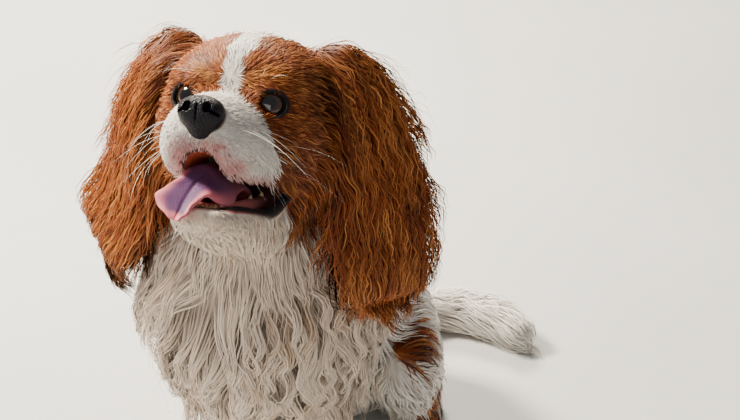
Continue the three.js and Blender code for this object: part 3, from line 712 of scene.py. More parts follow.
SKIN_FINISH = surface_finish("short_coat", ("noise", 900, 4), over=(0.55, 0.50, 0.46),
                             bump=(("noise", 1500, 3), 0.0004, 0.6), Roughness=0.5, Specular_IOR_Level=0.16)
HAIR_FINISH = surface_finish("long_coat", ("noise", 420, 2), over=(0.56, 0.5, 0.45),
                             Roughness=0.5, Specular_IOR_Level=0.22)
NOSE_FINISH = surface_finish("nose_leather", ("cells", 900), bump=(("cells", 900), 0.0004, 0.9),
                             stops=[(0, (0.014, 0.012, 0.016)), (1, (0.005, 0.0045, 0.006))],
                             Roughness=0.42, Specular_IOR_Level=0.16)
BLACK_FINISH = surface_finish("black_skin", ("noise", 1200, 3), bump=(("noise", 1200, 3), 0.0003, 0.5),
                              stops=[(0.3, (0.005, 0.004, 0.004)), (0.8, (0.016, 0.011, 0.010))],
                              Roughness=0.45, Specular_IOR_Level=0.16)
TONGUE_FINISH = surface_finish("tongue_flesh", ("cells", 1300), over=(0.5, 0.42, 0.44),
                               bump=(("cells", 1300), 0.0003, 0.7), Roughness=0.5, Subsurface_Weight=0.15,
                               Subsurface_Radius=(0.004, 0.0015, 0.001), Specular_IOR_Level=0.25,
                               Coat_Weight=0.08, Coat_Roughness=0.35)
TOOTH_FINISH = surface_finish("tooth", ("noise", 350, 2),
                              stops=[(0.3, (0.36, 0.24, 0.10)), (0.7, (0.52, 0.40, 0.23))],
                              Roughness=0.25, Coat_Weight=0.3)
EYE_FINISH = surface_finish("brown_eye", ("noise", 1500, 4), over=(0.5, 0.45, 0.4),
                            Roughness=0.12, Coat_Weight=1.0, Coat_Roughness=0.02, IOR=1.4)
CLAW_FINISH = surface_finish("claw_horn", ("noise", 500, 3),
                             stops=[(0.3, (0.035, 0.026, 0.022)), (0.8, (0.16, 0.12, 0.09))], Roughness=0.32)
FLOOR_FINISH = surface_finish("pale_floor", ("noise", 3, 2),
                              stops=[(0.3, (0.60, 0.60, 0.59)), (0.7, (0.66, 0.66, 0.65))], Roughness=0.7)


# Markings
BLUSH_PLACES = [  # middle and half size of the places where the white hair is thin over pink skin
    (np.array([7, -50, -35]), np.array([15, 14, 10])),
    (np.array([-9, -46, -38]), np.array([11, 14, 12])),
    (np.array([20, -44, -42]), np.array([13, 14, 8])),
]


def wobble(points, size, seed, waves=7):
    """A smooth, random number from about -1 to 1 at each point, that changes over size mm."""
    draw = np.random.default_rng(seed)
    total = np.zeros(len(points))
    for _ in range(waves):
        way = unit(draw.normal(size=3)) * draw.uniform(0.6, 1.6) * 2 * math.pi / size
        total += np.sin(points @ way + draw.uniform(0, 2 * math.pi))
    return total / 3.2


def mixed(first, second, share):
    """Colours that go from the first to the second as share goes from 0 to 1."""
    share = np.asarray(share)[:, None]
    return np.asarray(first) * (1 - share) + np.asarray(second) * share


def ramp(value, low, high):
    """0 at low, 1 at high and smooth between them."""
    t = np.clip((value - low) / (high - low), 0, 1)
    return t * t * (3 - 2 * t)


BODY_PATCHES = [
    ((-25, -30, 196), (80, 52, 58)),  # saddle
    ((26, 56, 84), (52, 34, 44)),  # croup
    ((60, -84, 138), (24, 28, 36)),  # left flank
    ((80, -52, 46), (22, 26, 26)),  # left hock
    ((-72, -50, 116), (24, 40, 44)),  # right flank
    ((-34, -92, 300), (52, 40, 62)),  # nape
]
FACE_EDGE = [  # height in the head, and how far back the white of the muzzle reaches there
    (-75, 26),
    (-60, 16),
    (-50, 8),
    (-44, 1),
    (-36, -2),
    (-30, -8),
    (-25, -13),
    (-20, -16),
    (-14, -19),
    (-8, -18),
    (0, -16),
    (12, -27),
]
BLAZE = [(-30, 8), (-10, 5), (5, 6), (20, 9), (45, 13), (60, 4)]  # how far back, and half width there
WHITE_THROAT = (22, 29)  # off the middle, where the throat's white ends
NAPE_EDGE = (286, 300)  # heights between which the head's markings give way to the body's
HEAD_BALL = ((0, 20, -10), (46, 60, 60))  # where the body's patches don't reach


def chestnut_share(points, ears=0.0):
    """How chestnut the coat is at each point, from 0 for white to 1."""
    local = to_head(points)
    x, y, z = local.T
    stray = wobble(points, 34, 5) * 3 + wobble(points, 12, 6) * 1.6
    edge = np.interp(z, *zip(*FACE_EDGE))
    face = ramp(y + stray * 0.8, edge - 2.5, edge + 2.5)
    blaze_half = np.interp(y, *zip(*BLAZE))
    blaze = ramp(np.abs(x - 1) + stray * 0.6, blaze_half - 1.5, blaze_half + 1.5)
    face = np.minimum(face, np.where(z > -8, blaze, 1))
    throat = ramp(np.abs(x - JAW_ASIDE) + stray, *WHITE_THROAT)
    low = ramp(z, -52, -66)
    face = face * (1 - low) + np.minimum(face, throat) * low
    share = face * ramp(points[:, 2] + stray, *NAPE_EDGE)
    for at, half in BODY_PATCHES:
        inside = np.linalg.norm((points - at) / np.array(half), axis=1)
        patch = ramp((1 - inside) * min(half) + stray * 1.6, -2.5, 2.5)
        away = ramp(np.linalg.norm((local - HEAD_BALL[0]) / HEAD_BALL[1], axis=1), 0.9, 1.1)
        share = np.maximum(share, patch * away)
    return np.maximum(share, ears)


DARK_AND_SHADED_PLACES = [  # where the head's chestnut is darker, under the eye as painted shade: a place, its half sizes and how much
    (np.array([42, 22, 12]), np.array([11, 16, 18]), 0.75),  # in front of the ear's root
    (np.array([32, 2, -22]), np.array([12, 17, 20]), 0.6),  # under the eye
    (np.array([24, -8, 2]), np.array([12, 9, 9]), 0.5),  # painted shade under the eye, on the cheek
]


def hair_tint(points, share, seed):
    """Colours of the coat, with lighter and darker places; among them are a painted highlight along the
    brows, painted shade under the eyes and painted warm shade on the chest.
    """
    tone = wobble(points, 40, seed) * 0.5 + wobble(points, 15, seed + 1) * 0.5
    dark = ramp(-tone, 0.1, 1.2)
    chestnut = mixed(CHESTNUT_HAIR, DARK_CHESTNUT, dark)
    chestnut = mixed(chestnut, PALE_CHESTNUT, 0.5 * ramp(tone, 0.35, 1.3))
    local = to_head(points)
    # Painted shade: the white on the front of the chest turns warm cream, as it looks in shadow. The small
    # base share and the random dark tone are the coat's own cream.
    chest_painted_shade = ramp(-points[:, 1], 95, 130) * ramp(-local[:, 2], 50, 72) * ramp(points[:, 2], 60, 130)
    white = mixed(WHITE_HAIR, CREAM_HAIR, 0.12 + 0.48 * chest_painted_shade + 0.45 * dark)
    # Painted highlight: a pale golden band along each brow.
    chestnut = mixed(chestnut, PALE_CHESTNUT, 0.6 * ramp(-roll_distance(local, BROW_HIGHLIGHT, 0), -4, 0))
    mirror = np.column_stack([np.abs(local[:, 0]), local[:, 1:]])
    for at, half, most in DARK_AND_SHADED_PLACES:
        deep = most * ramp(-np.linalg.norm((mirror - at) / half, axis=1), -1.15, -0.5)
        chestnut = mixed(chestnut, DARK_CHESTNUT, deep)
    blush = 0.75 * ramp(-roll_distance(local, UPPER_LIP, 0), -8, -1.5)
    for at, half in BLUSH_PLACES:
        near = ramp(-np.linalg.norm((local - at) / half, axis=1), -1.2, -0.5)
        blush = np.maximum(blush, near * (0.9 + 0.2 * wobble(points, 6, 46)))
    blush = np.clip(blush, 0, 1)
    freckle = ramp(wobble(points, 3.5, 47), 0.9, 1.3) * ramp(blush, 0.3, 0.6) * ramp(-local[:, 1], 34, 42)
    white = mixed(white, BLUSH_HAIR, blush) * (1 - 0.75 * freckle[:, None])
    return mixed(white, chestnut, share)


def eye_shade(local):
    """How near each point of the head is to the dark skin round the eyes."""
    shade = np.zeros(len(local))
    for side in SIDES:
        _, opening = eye_parts(local, side)
        at, half = EYE_CORNER
        corner = (local - np.array([at[0] * side, *at[1:]])) / half
        corner = ramp(-np.linalg.norm(corner, axis=1), -1.5, -0.7)
        shade = np.maximum(np.maximum(shade, ramp(-opening, -3.2, -1.6)), corner)
    return shade


def inner_mouth(local):
    """How far each point of the skin belongs to the lining of the mouth."""
    lining = ramp(-mouth_distance(local), -1.2, -0.3)
    lining = lining * (1 - ramp(-local[:, 1], 37, 40) * ramp(-local[:, 2], 56, 60))
    return np.maximum(lining, ramp(-roll_distance(local, GUM), -1.6, -0.6))


def lip_shade(points, local):
    """The dark edges of the lips."""
    lower = ramp(-roll_distance(local, LOWER_LIP), -1.4, -0.3)
    mouth = mouth_distance(local)
    edge = ramp(mouth, 0.2, 0.9) * ramp(-mouth + wobble(points, 8, 40) * 0.9, -3.0, -1.6)
    upper = edge * ramp(local[:, 2], -53, -50) * ramp(-roll_distance(local, UPPER_LIP, 0), -9, -6)
    return np.maximum(lower, upper * 0.9)


def skin_tint(points):
    """Colours of the skin: the coat's markings, darkened as painted shade under the hair, the mouth's lining
    with painted shade towards its back, and the dark edges.
    """
    local = to_head(points)
    ears = np.zeros(len(points))
    for ear in EARS:
        for a, b in ear.spans():
            ears = np.maximum(ears, span_distance(points, a, b, ear.front)[0] < 4)
    # The skin is kept darker than the coat on it: painted shade under the hair.
    tint = hair_tint(points, chestnut_share(points, ears), 21) * 0.82
    lining = mixed(GUM_PINK, RED_PALATE, ramp(local[:, 2], -48, -40))
    # Painted shade: the lining darkens towards the back of the mouth.
    lining = lining * (1 - 0.75 * ramp(local[:, 1], -26, 4)[:, None])
    bare = ramp(wobble(points, 7, 44), 0.1, 0.9) * ramp(-roll_distance(local, UPPER_LIP, 0), -8, -2)
    tint = mixed(tint, lining, inner_mouth(local))
    tint = mixed(tint, PINK_SKIN, 0.55 * bare)
    return mixed(tint, BLACK_SKIN, np.maximum(lip_shade(points, local), eye_shade(local)))


# Small closed shapes
def tube(centres, widths, depths, side, up, around=12):
    """A closed tube: rings round the centres, and a point at each end."""
    count = len(centres)
    angle = np.arange(around) * 2 * math.pi / around
    rings = (
        centres[:, None]
        + side[:, None] * (np.cos(angle)[None, :, None] * np.asarray(widths)[:, None, None])
        + up[:, None] * (np.sin(angle)[None, :, None] * np.asarray(depths)[:, None, None])
    )
    vertices = np.concatenate([rings.reshape(-1, 3), centres[:1], centres[-1:]])
    return vertices, tube_faces(count, around)


def halved(quads):
    """Two triangles for each quad."""
    quads = quads.reshape(-1, 4)
    return np.concatenate([quads[:, [0, 1, 2]], quads[:, [0, 2, 3]]])


def tube_faces(count, around):
    """Triangles of a closed tube, with its two end points after its rings."""
    start = np.arange(count - 1)[:, None] * around
    k = np.arange(around)[None]
    a, b = start + k, start + (k + 1) % around
    sides = halved(np.stack([a, b, b + around, a + around], -1))
    k = np.arange(around)
    first = np.stack([(k + 1) % around, k, np.full(around, count * around)], 1)
    last = (count - 1) * around
    end = np.stack([last + k, last + (k + 1) % around, np.full(around, count * around + 1)], 1)
    return np.concatenate([sides, first, end])


def merged(parts):
    """Several meshes, each vertices and faces, as one."""
    vertices, faces, total = [], [], 0
    for part_vertices, part_faces in parts:
        vertices.append(part_vertices)
        faces.append(part_faces + total)
        total += len(part_vertices)
    return np.concatenate(vertices), np.concatenate(faces)


IRIS = [  # distance from the middle of the eye's front, and the colour there
    (0, (0.002, 0.002, 0.002)),
    (3.2, (0.002, 0.002, 0.002)),
    (3.8, (0.028, 0.011, 0.005)),
    (6.2, (0.060, 0.024, 0.010)),
    (7.0, (0.006, 0.004, 0.003)),
    (7.8, (0.030, 0.020, 0.018)),
    (12, (0.060, 0.040, 0.036)),
]


def make_eye(side, name, rings=56, around=64):
    """An eyeball with its cornea raised, looking forward and a little aside."""
    turn, lift = (math.radians(angle) for angle in EYE["gaze"])
    turn *= side
    gaze = unit(np.array([math.sin(turn), -math.cos(turn) * math.cos(lift), math.sin(lift)]))
    across = unit(np.cross(gaze, UP))
    rise = np.cross(across, gaze)
    tilt = np.linspace(0.004, math.pi - 0.004, rings)
    radius = EYE["radius"] + EYE["cornea"] * ramp(-tilt, -0.75, -0.35)
    middle = eye_middle(side)
    centres = middle + np.outer(radius * np.cos(tilt), gaze)
    width = radius * np.sin(tilt)
    across, rise = np.tile(across, (rings, 1)), np.tile(-rise, (rings, 1))
    vertices, faces = tube(centres, width, width, across, rise, around)
    off = np.linalg.norm(np.cross(vertices - middle, gaze), axis=1)
    stops, tones = zip(*IRIS)
    tint = np.stack([np.interp(off, stops, column) for column in zip(*tones)], 1)
    tint[(vertices - middle) @ gaze <= 0] = tones[-1]
    vertices = from_head(vertices)
    return mesh_piece(name, vertices, faces, EYE_FINISH, colours=tint, slot="eye", replaces=[name])


def make_lids(around=56, section=10):
    """The black rims of the eyelids, lying on the eyeballs."""
    parts = []
    theta = np.arange(around) * 2 * math.pi / around
    phi = np.arange(section) * 2 * math.pi / section
    thick = EYE["rim"] * (0.85 + 0.3 * np.maximum(np.sin(theta), 0))
    off = np.cos(phi)[None] * thick[:, None]
    rise = np.sin(phi)[None] * thick[:, None]
    half_w, half_h = EYE["opening"]
    off_middle = (np.cos(theta) * half_w) ** 2 + (np.sin(theta) * half_h) ** 2
    ball = np.sqrt(np.maximum(EYE["radius"] ** 2 - off_middle, 1))
    i, k = np.meshgrid(np.arange(around), np.arange(section), indexing="ij")
    after, above = (i + 1) % around, (k + 1) % section
    corners = (i * section + k, after * section + k, after * section + above, i * section + above)
    faces = halved(np.stack(corners, -1))
    for side in SIDES:
        inner_corner = ramp(-np.cos(theta) * side, 0.55, 1.0)[:, None]
        x = np.cos(theta)[:, None] * (half_w + off) * (1 + 0.12 * inner_corner)
        z = np.sin(theta)[:, None] * (half_h + off) - 1.2 * inner_corner
        y = -ball[:, None] + 0.3 - rise
        x, y = turned(x, y, math.radians(EYE["turn"]) * side)
        local = np.stack([x, y, z], -1) + eye_middle(side)
        parts.append((from_head(local.reshape(-1, 3)), faces))
    return mesh_piece("eye_rims", *merged(parts), BLACK_FINISH, slot="nose_leather")


def make_nose():
    """The nose leather: a rounded pad with wings, comma nostrils and a groove."""
    grid = Grid([np.arange(low, high, NOSE_STEP) for low, high in NOSE_BLOCK])
    points = grid.points((slice(None),) * 3)
    reach = 30
    near = [np.clip(form_distance(points, form), -reach, reach) for form in NOSE_FORMS]
    distance = -NOSE_BLEND * np.log(sum(np.exp(-each / NOSE_BLEND) for each in near))
    mirror = np.column_stack([np.abs(points[:, 0]), points[:, 1:]])
    at, half = NOSTRIL
    nostril = np.linalg.norm((mirror - at) / half, axis=1) - 1
    at, half = NOSTRIL_SLIT
    slit = mirror - at
    slit[:, 2] += 0.35 * slit[:, 0]
    comma = np.linalg.norm(slit / half, axis=1) - 1
    groove = np.hypot(points[:, 0] / 0.6, np.maximum(points[:, 1] + 60.6, 0) / 3.4) - 1
    groove = np.maximum(groove, points[:, 2] + 9.5)
    hole = np.minimum(np.minimum(nostril * 2.4, comma * 1.3), groove * 0.6)
    vertices, faces = surface_net(np.maximum(distance, -hole).reshape(grid.shape), grid.axes)
    vertices = from_head(relaxed(vertices, faces))
    return mesh_piece("nose_pad", vertices, faces, NOSE_FINISH, slot="nose_leather", replaces=["nose"])


def tongue_sheet(path, u):
    """The tongue's middle sheet at the places u across it, from -1 at its right edge to 1."""
    right, middle, left = path[:, None, :3], path[:, None, 3:6], path[:, None, 6:9]
    u = u[None, :, None]
    bowl = right * u * (u - 1) / 2 + middle * (1 - u**2) + left * u * (u + 1) / 2
    fold = middle + np.where(u > 0, left - middle, right - middle) * np.abs(u) ** 1.15
    return bowl * 0.45 + fold * 0.55


def make_tongue(around=48):
    """The tongue: pink at its rim and tip, with painted violet shade along its channel and painted shade
    darker towards its root.
    """
    rows = [(*right, *middle, *left, thick) for right, middle, left, thick in TONGUE]
    path = smooth_path(rows, 6)
    count, thick = len(path), path[:, 9]
    angle = np.arange(around) * 2 * math.pi / around
    across, above = np.cos(angle), np.sin(angle)
    u = across * 0.97
    places = tongue_sheet(path, u)
    beyond = tongue_sheet(path, np.clip(u + 0.02, -1, 1)) - tongue_sheet(path, np.clip(u - 0.02, -1, 1))
    normal = unit(np.cross(np.gradient(places, axis=0), beyond))
    normal *= np.sign(np.sum(normal * np.array([0, -0.4, 1.0]), -1, keepdims=True).mean())
    reach = np.linspace(0, 1, count)
    half = (np.sign(above) * np.abs(above) ** 0.75)[None] * thick[:, None] / 2
    groove = -1.0 * np.exp(-((across / 0.07) ** 2)) * np.maximum(above, 0)
    ripple = 0.5 * np.sin(reach * 34)[:, None] * np.abs(across)[None] ** 3 * ramp(reach, 0.3, 0.5)[:, None]
    rings = places + normal * (half + groove[None] + ripple)[..., None]
    ahead = unit(np.gradient(rings.mean(1), axis=0))
    ends = []
    for ring, way, size in ((rings[0], -ahead[0], 1.5), (rings[-1], ahead[-1], 1.0)):
        centre = ring.mean(0)
        taper = ((0.85, 0.7), (0.55, 1.2))
        ends.append([centre + (ring - centre) * share + way * size * out for share, out in taper])
    rings = np.concatenate([ends[0][::-1], rings, ends[1]])
    vertices = np.concatenate([rings.reshape(-1, 3), [rings[0].mean(0), rings[-1].mean(0)]])
    reach = np.concatenate([[0, 0], reach, [1, 1]])
    top = np.concatenate([np.tile(above, len(reach)), [0, 0.5]])
    edge = np.concatenate([np.tile(np.abs(across), len(reach)), [0, 0.9]])
    along = np.concatenate([np.repeat(reach, around), [0, 1]])
    # Painted shade: violet along the channel, pink at the rim and tip.
    tint = mixed(TONGUE_CHANNEL_SHADE, PINK_TONGUE, np.maximum(ramp(edge, 0.62, 0.96), ramp(along, 0.90, 1.0)))
    # Painted shade: darker towards the root, inside the mouth.
    tint = mixed(tint, TONGUE_ROOT_SHADE, ramp(-along, -0.5, -0.15))
    # Underneath the tongue is pink and a little darker: painted shade under it.
    tint = mixed(tint, np.array(PINK_TONGUE) * 0.8, ramp(-top, -0.3, 0.0))
    faces = tube_faces(len(reach), around)
    return mesh_piece("tongue_blade", from_head(vertices), faces, TONGUE_FINISH, colours=tint,
                      slot="tongue_flesh", replaces=["tongue"])


def horn(foot, straight, bent, width, depth, up, around):
    """A tooth or a claw: a pointed tube from its foot, that bends more towards its tip."""
    t = np.linspace(0, 1, len(width))
    centres = foot + np.outer(t, straight) + np.outer(t**2, bent)
    sides = np.tile([1.0, 0, 0], (len(t), 1))
    return tube(centres, width, depth, sides, np.tile(up, (len(t), 1)), around)


HORN_PLACES = np.linspace(0, 1, 8)  # the rings of a tooth or a claw


def make_teeth():
    """The teeth of the lower jaw that show beside the tongue."""
    parts = []
    for x, y, z, size in TEETH:
        for side in SIDES:
            height = 6.4 * (size + 0.25)
            width = (1.25 + 0.75 * size) * np.sqrt(np.maximum(1 - HORN_PLACES**1.6, 0.002))
            straight = height * np.array([0.14 * side, -0.12, 1.0])
            bent = height * np.array([0, 0.12, 0])
            foot = np.array([x * side + JAW_ASIDE, y, z])
            parts.append(horn(foot, straight, bent, width, width * 1.15, (0, 1.0, 0), 12))
    vertices, faces = merged(parts)
    return mesh_piece("teeth", from_head(vertices), faces, TOOTH_FINISH, slot="white_coat")


def make_claws():
    """One dark claw on each toe."""
    width = 1.9 * np.sqrt(np.maximum(1 - HORN_PLACES**1.5, 0.003))
    vertices, faces = merged([
        horn((*place, CLAW_HEIGHT), (0, -8, -0.96), (0, 0, -3.4), width * 0.85, width, (0, -0.2, 1.0), 10)
        for place in toe_places(10)
    ])
    vertices[:, 2] = np.maximum(vertices[:, 2], 0.3)
    return mesh_piece("claws", vertices, faces, CLAW_FINISH, slot="nose_leather")


SKIN_NODES = [
    "head", "lower_jaw", "ear_left", "ear_right", "chest", "torso", "neck",
    "thigh_left", "thigh_right", "hindfoot_left", "hindfoot_right",
    "forepaw_left", "forepaw_right", "foreleg_left", "foreleg_right", "tail_root", "tail_plume",
]
FINE, COARSE = 1.1, 3.2  # spacing of the skin's points on the head and far from it
SKIN_BLOCK = [(-140, 172, -86, 6), (-278, 138, -268, -150), (-4, 415, 300, 402)]


def make_skin():
    """The dog's one skin, finest on the head. Gives its vertices and faces."""
    grid = Grid([graded(*ends, FINE, COARSE) for ends in SKIN_BLOCK])
    distance, _ = flesh(grid)
    vertices, faces = surface_net(distance, grid.axes)
    vertices = relaxed(vertices, faces)
    tint = skin_tint(vertices)
    mesh_piece("skin", vertices, faces, SKIN_FINISH, colours=tint, slot="white_coat", replaces=SKIN_NODES)
    return vertices, faces


def place_camera():
    """A camera that sees the eyes where the photo shows them."""
    azimuth, elevation = math.radians(CAMERA["azimuth"]), math.radians(CAMERA["elevation"])
    right = Vector((math.cos(azimuth), math.sin(azimuth), 0))
    level = math.cos(elevation)
    back = Vector((math.sin(azimuth) * level, -math.cos(azimuth) * level, math.sin(elevation)))
    up = back.cross(right)
    per_pixel = CAMERA["distance"] * MM / CAMERA["focal_px"]
    across = (EYES_PIXEL[0] - PHOTO[0] / 2) * per_pixel
    above = (PHOTO[1] / 2 - EYES_PIXEL[1]) * per_pixel
    place = Vector(EYES_AT * MM) - right * across - up * above + back * CAMERA["distance"] * MM
    camera = bpy.data.objects.new("camera", bpy.data.cameras.new("camera"))
    camera.data.sensor_width = CAMERA["sensor"]
    camera.data.lens = CAMERA["focal_px"] * CAMERA["sensor"] / PHOTO[0]
    camera.data.clip_start = 0.05
    camera.matrix_world = Matrix.Translation(place) @ Matrix((right, up, back)).transposed().to_4x4()
    bpy.context.scene.collection.objects.link(camera)
    bpy.context.scene.camera = camera


LIGHTS = [  # name, place in metres, size, power and colour
    ("key", (-1.2, 0.3, 1.5), 0.35, 118, (1.0, 0.92, 0.78)),
    ("front", (-0.6, -1.7, 0.8), 1.2, 9, (1.0, 0.95, 0.88)),
    ("rim", (-0.3, 1.3, 1.25), 0.4, 62, (1.0, 0.90, 0.74)),
]
LIGHT_AIM = Vector((-0.03, -0.13, 0.25))
FLOOR_HALF = 4


def make_stage():
    """The pale floor, the studio's air and its lights."""
    mesh = bpy.data.meshes.new("floor")
    corners = [(x * FLOOR_HALF, y * FLOOR_HALF, 0) for x, y in ((-1, -1), (1, -1), (1, 1), (-1, 1))]
    mesh.from_pydata(corners, [], [(0, 1, 2, 3)])
    mesh.materials.append(FLOOR_FINISH)
    floor = bpy.data.objects.new("floor", mesh)
    bpy.context.scene.collection.objects.link(floor)
    world = bpy.data.worlds.new("studio")
    world.use_nodes = True
    background = world.node_tree.nodes["Background"]
    background.inputs["Color"].default_value = (0.92, 0.95, 1.0, 1)
    background.inputs["Strength"].default_value = 0.28
    bpy.context.scene.world = world
    for name, place, size, power, colour in LIGHTS:
        light = bpy.data.lights.new(name, "AREA")
        light.size, light.energy, light.color = size, power, colour
        lamp = bpy.data.objects.new(name, light)
        lamp.location = place
        lamp.rotation_euler = (LIGHT_AIM - Vector(place)).to_track_quat("-Z", "Y").to_euler()
        bpy.context.scene.collection.objects.link(lamp)


# The coat. Each piece grows on some parts of the skin, and zone says where there. count is its
# number of strands, rings the sections of each, length and width their size in mm. high is how
# far up the coat's depth their tips reach, and lift the same as a share of their length. wave is
# the sideways swing in mm and its length, curl the swing in and out, sag how they bend down and
# loose how unlike their waves are. tufts is the number of locks that they gather into, gather
# how strongly, and locks how far they follow their lock from the root on.
EAR_COAT = dict(count=4100, rings=8, length=58, width=0.85, high=1.0, wave=(3.6, 30), curl=1.9,
                tufts=360, gather=0.75, sag=0.3)
CHEST_COAT = dict(grows_on=["chest"], count=2900, rings=10, length=72, width=0.9, high=1.05, wave=(8.5, 52),
                  curl=4.2, tufts=120, gather=0.72, sag=0.15, loose=1.1, locks=0.9)
CHEST_PARTING = -36
COAT = {
    "ear_hair_left": dict(EAR_COAT, grows_on=["ear_left"]),
    "ear_hair_right": dict(EAR_COAT, grows_on=["ear_right"]),
    "chest_hair_left": dict(CHEST_COAT, zone=lambda points: points[:, 0] > CHEST_PARTING),
    "chest_hair_right": dict(CHEST_COAT, zone=lambda points: points[:, 0] <= CHEST_PARTING),
    "neck_hair": dict(grows_on=["neck"], count=3500, rings=5, length=38, width=0.9, high=0.7,
                      wave=(3.0, 34), curl=1.6, tufts=300, gather=0.65, sag=0.2),
    "back_hair": dict(grows_on=["torso"], count=4100, rings=4, length=38, width=1.3, high=0.8,
                      wave=(2.2, 44), curl=0.8, tufts=460, gather=0.55, sag=0.1),
    "thigh_hair": dict(grows_on=["thigh_left", "thigh_right", "shank_left", "shank_right"],
                       count=3700, rings=4, length=36, width=1.15, high=0.8,
                       wave=(2.4, 42), curl=1.0, tufts=400, gather=0.55, sag=0.2),
    "leg_hair": dict(grows_on=["foreleg_left", "foreleg_right"],
                     count=2500, rings=4, length=26, width=0.95, high=0.9,
                     wave=(1.2, 36), curl=0.5, tufts=240, gather=0.5, sag=0.2),
    "paw_hair": dict(grows_on=["forepaw_left", "forepaw_right", "hindfoot_left", "hindfoot_right"],
                     count=3600, rings=3, length=10, width=0.9, high=0.9,
                     wave=(0.2, 20), curl=0.1, tufts=700, gather=0.3, sag=0.1),
    "tail_hair": dict(grows_on=["tail"], count=3200, rings=6, length=62, width=0.85, high=1.0,
                      wave=(3.0, 40), curl=1.8, tufts=220, gather=0.5, sag=0.25),
    "face_hair": dict(grows_on=["head"], count=13500, rings=2, length=1, width=0.55, lift=0.13,
                      wave=(0.15, 20), curl=0.1, tufts=2200, gather=0.3, sag=0.0,
                      zone=lambda points: 0.01 + face_share(points)),
    "crown_hair": dict(grows_on=["head"], count=5400, rings=4, length=1, width=0.65, lift=0.24,
                       wave=(1.6, 24), curl=1.0, tufts=560, gather=0.55, sag=0.05,
                       zone=lambda points: 1 - 0.9 * face_share(points)),
    "wisps": dict(grows_on=["head", "ear_left", "ear_right"],
                  count=520, rings=8, length=46, width=0.4, high=1.6,
                  wave=(3.4, 40), curl=2.6, tufts=110, gather=0.35, sag=0.2,
                  zone=lambda points: crown_share(points)),
}
MARCH = 16  # steps along a strand
SOFT, ROUND = 0.62, 0.4  # how far a strand is shaded like the coat as a whole, and like a thread
ROOT_SHADE = (0.80, 0.50)  # painted shade: brightness of a white and of a chestnut strand at its root, darker deep in the coat
BAKE_PATCH = 0.003  # size of a strand's patch on the unwrap
TAPER = [(0, 0.7), (0.25, 1), (0.6, 0.85), (0.85, 0.5), (1, 0.1)]  # width along a strand
FLATNESS, TWIST = 0.6, 0.45  # of a strand's section
TIP_SHADE = 1.06  # brightness of a strand's tip, where the painted shade from its root ends
HOOK = 0.5  # how much tighter a curl is at its tip
STRAYS = 0.05  # share of the strands that leave their locks
LOCK_LAYER, LOWEST_LAYER = 0.92, 0.12
SKIN_GAP, FLOOR_GAP = 0.5, 1.2
# How much strands differ: their length, the share of it that shows, their width and their tone
LENGTHS, SHOWN, WIDTHS, TONES = (0.82, 1.12), (0.75, 1.0), (0.7, 1.25), (0.80, 1.16)


class Volume:
    """The flesh on an even grid: its distance, which way is out of it and how the hair lies."""

    STEP = 4.0
    BLOCK = ((-172, 176), (-284, 140), (-8, 420))

    def __init__(self):
        self.low = np.array([low for low, _ in self.BLOCK])
        self.grid = Grid([np.arange(low, high, self.STEP) for low, high in self.BLOCK])
        distance, lie = flesh(self.grid)
        out = np.stack(np.gradient(distance, self.STEP), -1)
        self.data = np.concatenate([distance[..., None], unit(out), lie], -1).astype(np.float32)

    def at(self, points):
        place = (points - self.low) / self.STEP
        place = np.clip(place, 0, np.array(self.grid.shape) - 1.001)
        base = place.astype(int)
        part = (place - base).astype(np.float32)
        total = 0
        for corner in np.ndindex(2, 2, 2):
            share = np.prod(np.where(corner, part, 1 - part), axis=1)
            index = base + corner
            total = total + self.data[index[:, 0], index[:, 1], index[:, 2]] * share[:, None]
        return total[:, 0], unit(total[:, 1:4]), total[:, 4:7]


def owners(points):
    """For each point, the part it is on, the depth of the coat there and its place on that
    part's own unwrap: round it and along it, from 0 to 1."""
    names = ["head"]
    local = to_head(points)
    best = np.full(len(points), FAR)
    for form in HEAD_FORMS:
        best = np.minimum(best, form_distance(local, form))
    part = np.zeros(len(points), int)
    depth = np.full(len(points), 4.0)
    centre = local - (0, 18, -18)
    around = np.arctan2(centre[:, 0], centre[:, 2]) / (2 * math.pi) + 0.5
    along = np.arctan2(centre[:, 1], np.hypot(centre[:, 0], centre[:, 2])) / math.pi + 0.5
    for chain in CHAINS + EARS:
        names.append(chain.name)
        spans = chain.spans()
        for number, (a, b) in enumerate(spans):
            pad = max(a[3], b[3], a[4], b[4]) + 14
            low, high = np.minimum(a[:3], b[:3]) - pad, np.maximum(a[:3], b[:3]) + pad
            near = np.flatnonzero(np.all((points > low) & (points < high), axis=1))
            distance, t = span_distance(points[near], a, b, chain.front)
            closer = distance < best[near]
            index, t = near[closer], t[closer]
            best[index] = distance[closer]
            part[index] = len(names) - 1
            depth[index] = a[5] + (b[5] - a[5]) * t
            off = points[index] - a[:3] - t[:, None] * (b[:3] - a[:3])
            ahead = unit(b[:3] - a[:3])
            deep = unit(np.array(chain.front, float) - ahead * np.dot(chain.front, ahead))
            around[index] = np.arctan2(off @ deep, off @ np.cross(deep, ahead)) / (2 * math.pi) + 0.5
            along[index] = (number + t) / len(spans)
    return names, part, depth, np.stack([around, along], 1)


def scattered(vertices, faces, weight, count, draw):
    """Random places on the skin, more of them where the vertices' weight is high."""
    corners = vertices[faces]
    area = np.linalg.norm(np.cross(corners[:, 2] - corners[:, 0], corners[:, 3] - corners[:, 1]), axis=1) / 2
    chance = area * weight[faces].mean(1)
    picked = draw.choice(len(faces), count, p=chance / chance.sum())
    u, v = draw.random((2, count, 1))
    quad = corners[picked]
    return (quad[:, 0] * (1 - u) + quad[:, 1] * u) * (1 - v) + (quad[:, 3] * (1 - u) + quad[:, 2] * u) * v


